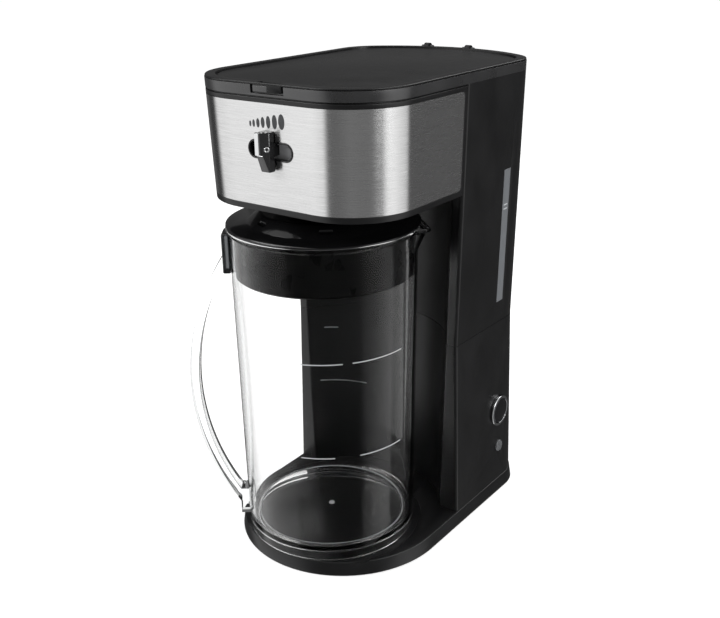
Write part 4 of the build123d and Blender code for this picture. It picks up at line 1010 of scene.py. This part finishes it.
    def stroke(self, z: float, start_deg: float, end_deg: float) -> bpy.types.Object:
        """A raised line round part of the wall.

        Args:
            z: Its height in millimetres.
            start_deg: Where it starts round the jug.
            end_deg: Where it ends.

        Returns:
            A thin strip of the jug's own curve.
        """
        turn = math.radians(start_deg)
        radius = self.outer_r(z) + self.line_proud
        bpy.ops.object.select_all(action="DESELECT")
        spot = (radius * math.cos(turn) * MM, radius * math.sin(turn) * MM, z * MM)
        bpy.ops.mesh.primitive_plane_add(size=1, location=spot, rotation=(math.pi / 2, 0, turn))
        strip = bpy.context.object
        strip.scale = (self.line_thick * MM, self.line_tall * MM, 1)
        settle(strip)
        bpy.ops.object.mode_set(mode="EDIT")
        bpy.ops.mesh.select_all(action="SELECT")
        sweep = end_deg - start_deg
        bpy.ops.mesh.spin(steps=max(4, int(sweep / self.line_step_deg)),
                          angle=math.radians(sweep), center=(0, 0, 0), axis=(0, 0, -1))
        close_swept(merge_mm=0.005)
        strip.location = (0, self.axis_y * MM, 0)
        return settle(strip)


# ---------------------------------------------------------------------------------------------
# marks on the head and the window
# ---------------------------------------------------------------------------------------------
@dataclass
class StrengthScale:
    """Seven printed ovals over the lever's slot, growing to the right."""

    dresser: Dresser
    centres_x: tuple[float, ...] = (-13.9, -11.1, -7.6, -3.7, 0.7, 5.7, 11.1)
    centres_z: tuple[float, ...] = (306.1, 306.5, 307.0, 307.6, 308.1, 308.7, 309.2)
    widths: tuple[float, ...] = (1.6, 2.0, 2.6, 3.0, 3.4, 3.9, 4.8)
    heights: tuple[float, ...] = (3.6, 4.6, 5.6, 6.6, 7.6, 8.5, 9.3)
    thickness: float = 0.12

    def build(self) -> None:
        """Prints the ovals on the steel and joins them."""
        low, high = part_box("steel_panel")
        lean = math.atan(WALL_LEAN)
        ovals = []
        for x, z, width, height in zip(self.centres_x, self.centres_z, self.widths, self.heights):
            bpy.ops.object.select_all(action="DESELECT")
            face_y = low.y + (high.z - z * MM) * WALL_LEAN
            bpy.ops.mesh.primitive_cylinder_add(
                vertices=40, radius=0.5, depth=1, location=(x * MM, face_y, z * MM),
                rotation=(math.pi / 2 + lean, 0, 0))
            oval = bpy.context.object
            oval.scale = (width * MM, height * MM, self.thickness * MM)
            ovals.append(settle(oval))
        piece = joined(ovals, "strength_scale")
        self.dresser.mount(piece, "machine", Surface.INK, Surface.LID.value)


@dataclass
class LeverTrim:
    """The bright facing down the lever's front, two beads along its edges and a stud on its
    slanted side; the beads and stud are painted highlights in chrome.
    """

    dresser: Dresser
    facing_width: float = 3.1
    facing_height: float = 13.0
    facing_thick: float = 0.3
    facing_edge: float = 0.12
    side_gap: float = 0.1
    top_gap: float = 0.4
    foot_gap: float = 0.6
    bead: float = 0.55
    bead_edge: float = 0.2
    foot_bead_length: float = 4.6
    foot_bead_x: float = 3.6
    side_bead_length: float = 7.6
    side_bead_back: float = 4.2
    side_bead_down: float = 4.0
    stud_r: float = 1.3
    stud_thick: float = 0.45
    stud_turn_deg: float = 45.0
    stud_in: float = 1.0
    stud_back: float = 2.9
    stud_z: float = 292.9

    def build(self) -> None:
        """Makes the four pieces; they ride on the lever."""
        low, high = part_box("strength_lever")
        top = high.z - self.top_gap * MM
        foot = high.z - (self.facing_height + self.foot_gap) * MM
        facing_x = low.x + (self.facing_width / 2 + self.side_gap) * MM
        self.strip("lever_facing", (facing_x, low.y, (top + foot) / 2),
                   (self.facing_width * MM, self.facing_thick * MM, top - foot), self.facing_edge)
        # painted highlights: chrome beads along the block's lower edge and its outer side
        thick = self.bead * MM
        self.strip("lever_foot_highlight_bead",
                   (low.x + self.foot_bead_x * MM, low.y + self.facing_thick * MM,
                    foot - self.side_gap * MM),
                   (self.foot_bead_length * MM, thick, thick), self.bead_edge)
        self.strip("lever_side_highlight_bead",
                   (high.x, low.y + self.side_bead_back * MM, top - self.side_bead_down * MM),
                   (thick, thick, self.side_bead_length * MM), self.bead_edge)
        self.stud(low, high)

    def strip(self, name: str, spot: tuple[float, float, float],
              size: tuple[float, float, float], round_mm: float) -> None:
        """Lays a thin bar with rounded edges on the lever.

        Args:
            name: Name of the new piece.
            spot: Its middle, in metres.
            size: Its three lengths, in metres.
            round_mm: How far its edges are rounded.
        """
        bar = start_box(name, spot, size)
        with_modifier(bar, "BEVEL", width=round_mm * MM, segments=3)
        smooth(bar)
        self.dresser.mount(bar, "lever", Surface.FACING, Surface.LID.value)

    def stud(self, low: Vector, high: Vector) -> None:
        """Sets a small chrome ring at the outer edge of the slanted side, a painted highlight.

        Args:
            low: The lever's lowest corner.
            high: The lever's highest corner.
        """
        turn = math.radians(self.stud_turn_deg)
        spot = (high.x - self.stud_in * MM, low.y + self.stud_back * MM, self.stud_z * MM)
        bpy.ops.object.select_all(action="DESELECT")
        bpy.ops.mesh.primitive_torus_add(
            major_radius=self.stud_r * MM, minor_radius=self.stud_thick * MM, major_segments=32,
            minor_segments=12, location=spot, rotation=(math.pi / 2, 0, turn))
        ring = bpy.context.object
        ring.name = ring.data.name = "lever_highlight_stud"
        settle(ring)
        smooth(ring, 60.0)
        self.dresser.mount(ring, "lever", Surface.FACING, Surface.LID.value)


@dataclass
class PaintedLightTabPlate:
    """A lighter plate on the front of the lid's finger tab: painted light, so that the tab's face
    reads lit like the band.
    """

    dresser: Dresser
    left: float = -8.2
    right: float = 3.0
    height: float = 3.4
    thick: float = 0.3
    raised_by: float = 0.5
    edge: float = 0.12

    def build(self) -> None:
        """Lays the plate; it rides on the lid."""
        low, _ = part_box("reservoir_lid")
        spot = ((self.left + self.right) / 2 * MM, low.y,
                low.z + (self.height / 2 + self.raised_by) * MM)
        size = ((self.right - self.left) * MM, self.thick * MM, self.height * MM)
        plate = start_box("tab_painted_light_plate", spot, size)
        with_modifier(plate, "BEVEL", width=self.edge * MM, segments=3)
        smooth(plate)
        self.dresser.mount(plate, "lid", Surface.BAND, Surface.LID.value)


@dataclass
class WindowMarks:
    """Two short raised lines that show the full level on the water window."""

    dresser: Dresser
    heights: tuple[float, ...] = (229.4, 232.4)
    length: float = 5.0
    width: float = 0.9
    thick: float = 0.3
    edge: float = 0.1

    def build(self) -> None:
        """Makes the lines and joins them."""
        low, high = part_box("water_window")
        lean_out = (high.z - low.z) * WALL_LEAN
        lines = []
        for z in self.heights:
            share = (z * MM - low.z) / (high.z - low.z)
            spot = (high.x - lean_out + lean_out * share, (low.y + high.y) / 2, z * MM)
            line = start_box("window_marks", spot,
                             (self.thick * MM, self.length * MM, self.width * MM))
            with_modifier(line, "BEVEL", width=self.edge * MM, segments=2)
            lines.append(line)
        piece = joined(lines, "window_marks")
        # the marks are real; their pale finish is a painted highlight
        self.dresser.mount(piece, "machine", Surface.FROST, Surface.WINDOW.value)


# ---------------------------------------------------------------------------------------------
# studio
# ---------------------------------------------------------------------------------------------
@dataclass
class Studio:
    """White floor and background, soft lamps, tall soft boxes for the metal, and the camera."""

    camera_at: tuple[float, float, float] = (0.39264, -0.5338, 0.41215)
    heading_deg: float = 37.13
    pitch_deg: float = 21.13
    roll_deg: float = -0.93
    lens_mm: float = 48.61
    sensor_mm: float = 36.0
    near_m: float = 0.01
    soft_level: float = 0.5
    # upward slope of a ray at which the panels end and the overhead sheet begins
    overhead_from: float = 0.5
    overhead_to: float = 0.75
    overhead_level: float = 0.9
    # where the white sheet stands, and how far to its sides it still shows
    sheet_heading: tuple[float, float, float] = (-0.7, 0.714, 0.0)
    sheet_reach: float = 0.4
    floor_size: float = 12.0
    floor_glow: float = 0.62
    floor_colour: str = "#e6e6e6"
    # compass heading in degrees and brightness there, from one tall soft box to the next
    panels: tuple[tuple[float, float], ...] = (
        (-180.0, 0.05), (-174.0, 0.06), (-164.0, 1.05), (-104.0, 1.0), (-96.0, 0.12),
        (-60.0, 0.2), (-9.0, 0.16), (0.0, 0.9), (14.0, 1.15), (39.0, 0.8), (43.0, 0.1),
        (108.0, 0.08), (118.0, 0.12), (160.0, 0.12), (172.0, 0.05), (180.0, 0.05))
    # name, place, size in metres and power in watts of each lamp
    lamp_list: tuple[tuple[str, tuple[float, float, float], float, float], ...] = (
        ("key", (-1.0, -1.2, 1.3), 0.9, 14.0), ("fill", (1.5, -0.2, 0.9), 0.8, 9.0),
        ("rim", (0.3, 1.2, 1.3), 0.9, 9.0))
    lamp_aim: tuple[float, float, float] = (0.0, 0.0, 0.16)

    def build(self) -> None:
        """Sets the camera first, then the light and the floor."""
        self.camera()
        self.world()
        self.floor()
        self.lamps()
        bpy.context.scene.view_settings.view_transform = "Standard"

    def camera(self) -> None:
        """Stands the camera in front and to the right, looking down at the machine."""
        a, p = math.radians(self.heading_deg), math.radians(self.pitch_deg)
        roll = math.radians(self.roll_deg)
        right = Vector((math.cos(a), math.sin(a), 0))
        ahead = Vector((-math.sin(a) * math.cos(p), math.cos(a) * math.cos(p), -math.sin(p)))
        up = right.cross(ahead)
        x_axis = right * math.cos(roll) + up * math.sin(roll)
        y_axis = up * math.cos(roll) - right * math.sin(roll)
        data = bpy.data.cameras.new("camera")
        data.lens = self.lens_mm
        data.sensor_width = self.sensor_mm
        data.sensor_fit = "HORIZONTAL"
        data.clip_start = self.near_m
        camera = bpy.data.objects.new("camera", data)
        bpy.context.scene.collection.objects.link(camera)
        turn = Matrix((x_axis, y_axis, -ahead)).transposed().to_4x4()
        camera.matrix_world = Matrix.Translation(self.camera_at) @ turn
        bpy.context.scene.camera = camera

    def world(self) -> None:
        """White for the eye and through clear plastic, tall bright and dark panels for gloss."""
        world = bpy.data.worlds.new("studio")
        bpy.context.scene.world = world
        world.use_nodes = True
        tree = world.node_tree
        tree.nodes.clear()
        direction = add_node(tree, "ShaderNodeTexCoord").outputs["Generated"]
        parts = add_node(tree, "ShaderNodeSeparateXYZ", inputs={0: direction})
        heading = add_node(tree, "ShaderNodeMath", {"operation": "ARCTAN2"},
                           {0: parts.outputs["Y"], 1: parts.outputs["X"]})
        share = add_node(tree, "ShaderNodeMapRange",
                         inputs={"Value": heading.outputs[0], "From Min": -math.pi,
                                 "From Max": math.pi}).outputs[0]
        panels = add_node(tree, "ShaderNodeValToRGB", inputs={"Fac": share})
        self.set_panels(panels.color_ramp)
        rays = add_node(tree, "ShaderNodeLightPath")
        straight = self.straight_rays(tree, rays)
        height = add_node(tree, "ShaderNodeMapRange", {"interpolation_type": "SMOOTHSTEP"},
                          {"Value": parts.outputs["Z"], "From Min": self.overhead_from,
                           "From Max": self.overhead_to})
        around = add_node(tree, "ShaderNodeMix", {"data_type": "RGBA"},
                          {0: height.outputs[0], MIX_A: panels.outputs[0],
                           MIX_B: (self.overhead_level,) * 3 + (1,)})
        behind = self.backdrop_share(tree, rays, direction, parts)
        sheet = add_node(tree, "ShaderNodeMix", {"data_type": "RGBA"},
                         {0: behind, MIX_A: around.outputs[MIX_OUT], MIX_B: linear(WHITE)})
        soft, gloss, plain = (
            add_node(tree, "ShaderNodeBackground", inputs={"Color": colour, "Strength": level})
            for colour, level in ((linear(WHITE), self.soft_level), (sheet.outputs[MIX_OUT], 1.0),
                                  (linear(WHITE), 1.0)))
        lit = add_node(tree, "ShaderNodeMixShader",
                       inputs={0: self.mirrored_rays(tree, rays), 1: soft.outputs[0],
                               2: gloss.outputs[0]})
        seen = add_node(tree, "ShaderNodeMixShader",
                        inputs={0: straight, 1: lit.outputs[0], 2: plain.outputs[0]})
        add_node(tree, "ShaderNodeOutputWorld", inputs={"Surface": seen.outputs[0]})

    def mirrored_rays(self, tree: bpy.types.NodeTree,
                      rays: bpy.types.Node) -> bpy.types.NodeSocket:
        """Tells rays that something glossy mirrored from all others.

        Args:
            tree: The node tree.
            rays: Its Light Path node.

        Returns:
            1 for such a ray, and 0 for any other.
        """
        return add_node(tree, "ShaderNodeMath", {"operation": "GREATER_THAN"},
                        {0: rays.outputs["Glossy Depth"], 1: ONE_OR_MORE}).outputs[0]

    def straight_rays(self, tree: bpy.types.NodeTree,
                      rays: bpy.types.Node) -> bpy.types.NodeSocket:
        """Tells rays that come from the eye, straight or through clear walls, from all others.

        Args:
            tree: The node tree.
            rays: Its Light Path node.

        Returns:
            1 for such a ray, and 0 for one that was mirrored or scattered on its way.
        """
        sight = add_node(tree, "ShaderNodeMath", {"operation": "MAXIMUM"},
                         {0: rays.outputs["Is Camera Ray"],
                          1: rays.outputs["Is Transmission Ray"]})
        turns = add_node(tree, "ShaderNodeMath", {"operation": "ADD"},
                         {0: rays.outputs["Glossy Depth"], 1: rays.outputs["Diffuse Depth"]})
        clean = add_node(tree, "ShaderNodeMath", {"operation": "LESS_THAN"},
                         {0: turns.outputs[0], 1: ONE_OR_MORE})
        return add_node(tree, "ShaderNodeMath", {"operation": "MULTIPLY"},
                        {0: sight.outputs[0], 1: clean.outputs[0]}).outputs[0]

    def backdrop_share(self, tree: bpy.types.NodeTree, rays: bpy.types.Node,
                       direction: bpy.types.NodeSocket, parts: bpy.types.Node
                       ) -> bpy.types.NodeSocket:
        """Finds light that a clear wall turned towards the white sheet behind the machine.

        Args:
            tree: The node tree.
            rays: Its Light Path node.
            direction: The ray's direction.
            parts: The direction's three parts.

        Returns:
            1 for a ray that left a clear wall downwards and backwards, 0 for any other.
        """
        ahead = add_node(tree, "ShaderNodeVectorMath", {"operation": "DOT_PRODUCT"},
                         {0: direction, 1: self.sheet_heading})
        facing = add_node(tree, "ShaderNodeMath", {"operation": "GREATER_THAN"},
                          {0: ahead.outputs["Value"], 1: self.sheet_reach})
        low = add_node(tree, "ShaderNodeMath", {"operation": "LESS_THAN"},
                       {0: parts.outputs["Z"], 1: 0.0})
        through = add_node(tree, "ShaderNodeMath", {"operation": "GREATER_THAN"},
                           {0: rays.outputs["Transmission Depth"], 1: ONE_OR_MORE})
        both = add_node(tree, "ShaderNodeMath", {"operation": "MULTIPLY"},
                        {0: facing.outputs[0], 1: low.outputs[0]})
        return add_node(tree, "ShaderNodeMath", {"operation": "MULTIPLY"},
                        {0: both.outputs[0], 1: through.outputs[0]}).outputs[0]

    def set_panels(self, ramp: bpy.types.ColorRamp) -> None:
        """Sets how bright the studio is at each compass heading, as tall soft boxes stand in it.

        Args:
            ramp: The ramp that runs once round the compass.
        """
        while len(ramp.elements) < len(self.panels):
            ramp.elements.new(0.5)
        for element, (heading, level) in zip(ramp.elements, self.panels):
            element.position = (heading + 180) / 360
            element.color = (level, level, level, 1)

    def floor(self) -> None:
        """Lays a white floor that keeps the machine's soft shadow."""
        bpy.ops.object.select_all(action="DESELECT")
        bpy.ops.mesh.primitive_plane_add(size=self.floor_size, location=(0, 0, 0))
        floor = bpy.context.object
        floor.name = "floor"
        material = bpy.data.materials.new("paper_white")
        material.use_nodes = True
        tree = material.node_tree
        tree.nodes.clear()
        rays = add_node(tree, "ShaderNodeLightPath")
        level = add_node(tree, "ShaderNodeMath", {"operation": "MULTIPLY"},
                         {0: self.straight_rays(tree, rays), 1: self.floor_glow})
        glow = add_node(tree, "ShaderNodeEmission",
                        inputs={"Color": linear(WHITE), "Strength": level.outputs[0]})
        paper = add_node(tree, "ShaderNodeBsdfDiffuse",
                         inputs={"Color": linear(self.floor_colour)})
        both = add_node(tree, "ShaderNodeAddShader",
                        inputs={0: glow.outputs[0], 1: paper.outputs[0]})
        clear = add_node(tree, "ShaderNodeBsdfTransparent")
        sheet = add_node(tree, "ShaderNodeMixShader",
                         inputs={0: self.mirrored_rays(tree, rays), 1: both.outputs[0],
                                 2: clear.outputs[0]})
        add_node(tree, "ShaderNodeOutputMaterial", inputs={"Surface": sheet.outputs[0]})
        floor.data.materials.append(material)
        floor.visible_glossy = False

    def lamps(self) -> None:
        """Hangs three large soft lamps out of the camera's sight."""
        for name, spot, size, power in self.lamp_list:
            data = bpy.data.lights.new(name, "AREA")
            data.shape = "SQUARE"
            data.size = size
            data.energy = power
            lamp = bpy.data.objects.new(name, data)
            bpy.context.scene.collection.objects.link(lamp)
            aim = Vector(self.lamp_aim) - Vector(spot)
            lamp.matrix_world = (Matrix.Translation(spot)
                                 @ aim.to_track_quat("-Z", "Y").to_matrix().to_4x4())
            lamp.visible_camera = False


# ---------------------------------------------------------------------------------------------
# the whole machine
# ---------------------------------------------------------------------------------------------
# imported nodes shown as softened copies: each copy's name and the width of its rounding in mm
SOFTENED = {
    "base_tray": ("base_skin", 0.5),
    "lower_housing": ("lower_housing_skin", 0.5),
    "upper_housing": ("upper_housing_skin", 0.4),
    "head_shell": ("head_skin", 0.6),
    "top_frame": ("top_frame_skin", 0.3),
    "fill_deck": ("fill_deck_skin", 0.4),
    "reservoir_lid": ("reservoir_lid_skin", 0.35),
    "slot_bezel": ("slot_bezel_skin", 0.2),
    "strength_lever": ("strength_lever_skin", 0.35),
    "button_bezel": ("button_bezel_skin", 0.2),
    "power_button": ("power_button_skin", 0.2),
    "brew_basket": ("brew_basket_skin", 0.4),
    "jug_lid": ("jug_lid_skin", 0.4),
    "spray_head": ("spray_head_skin", 0.4),
    "cord_gland": ("cord_gland_skin", 0.4),
}


def dress_nodes(dresser: Dresser) -> None:
    """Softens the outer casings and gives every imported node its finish.

    Args:
        dresser: Knows each node's body, slot and finish.
    """
    softener = SoftenedNode(dresser)
    for node, (name, edge_mm) in SOFTENED.items():
        softener.make(node, edge_mm, name)
    for node, piece in frame["nodes"].items():
        dresser.coat(piece, dresser.surface(node))


def main() -> None:
    """Builds the studio and every piece in order."""
    logging.basicConfig(level=logging.INFO, format="%(name)s: %(message)s")
    Studio().build()
    dresser = Dresser(frame["record"])
    dress_nodes(dresser)
    Jug(dresser).build()
    StrengthScale(dresser).build()
    LeverTrim(dresser).build()
    PaintedLightTabPlate(dresser).build()
    WindowMarks(dresser).build()


if __name__ == "__main__":
    main()
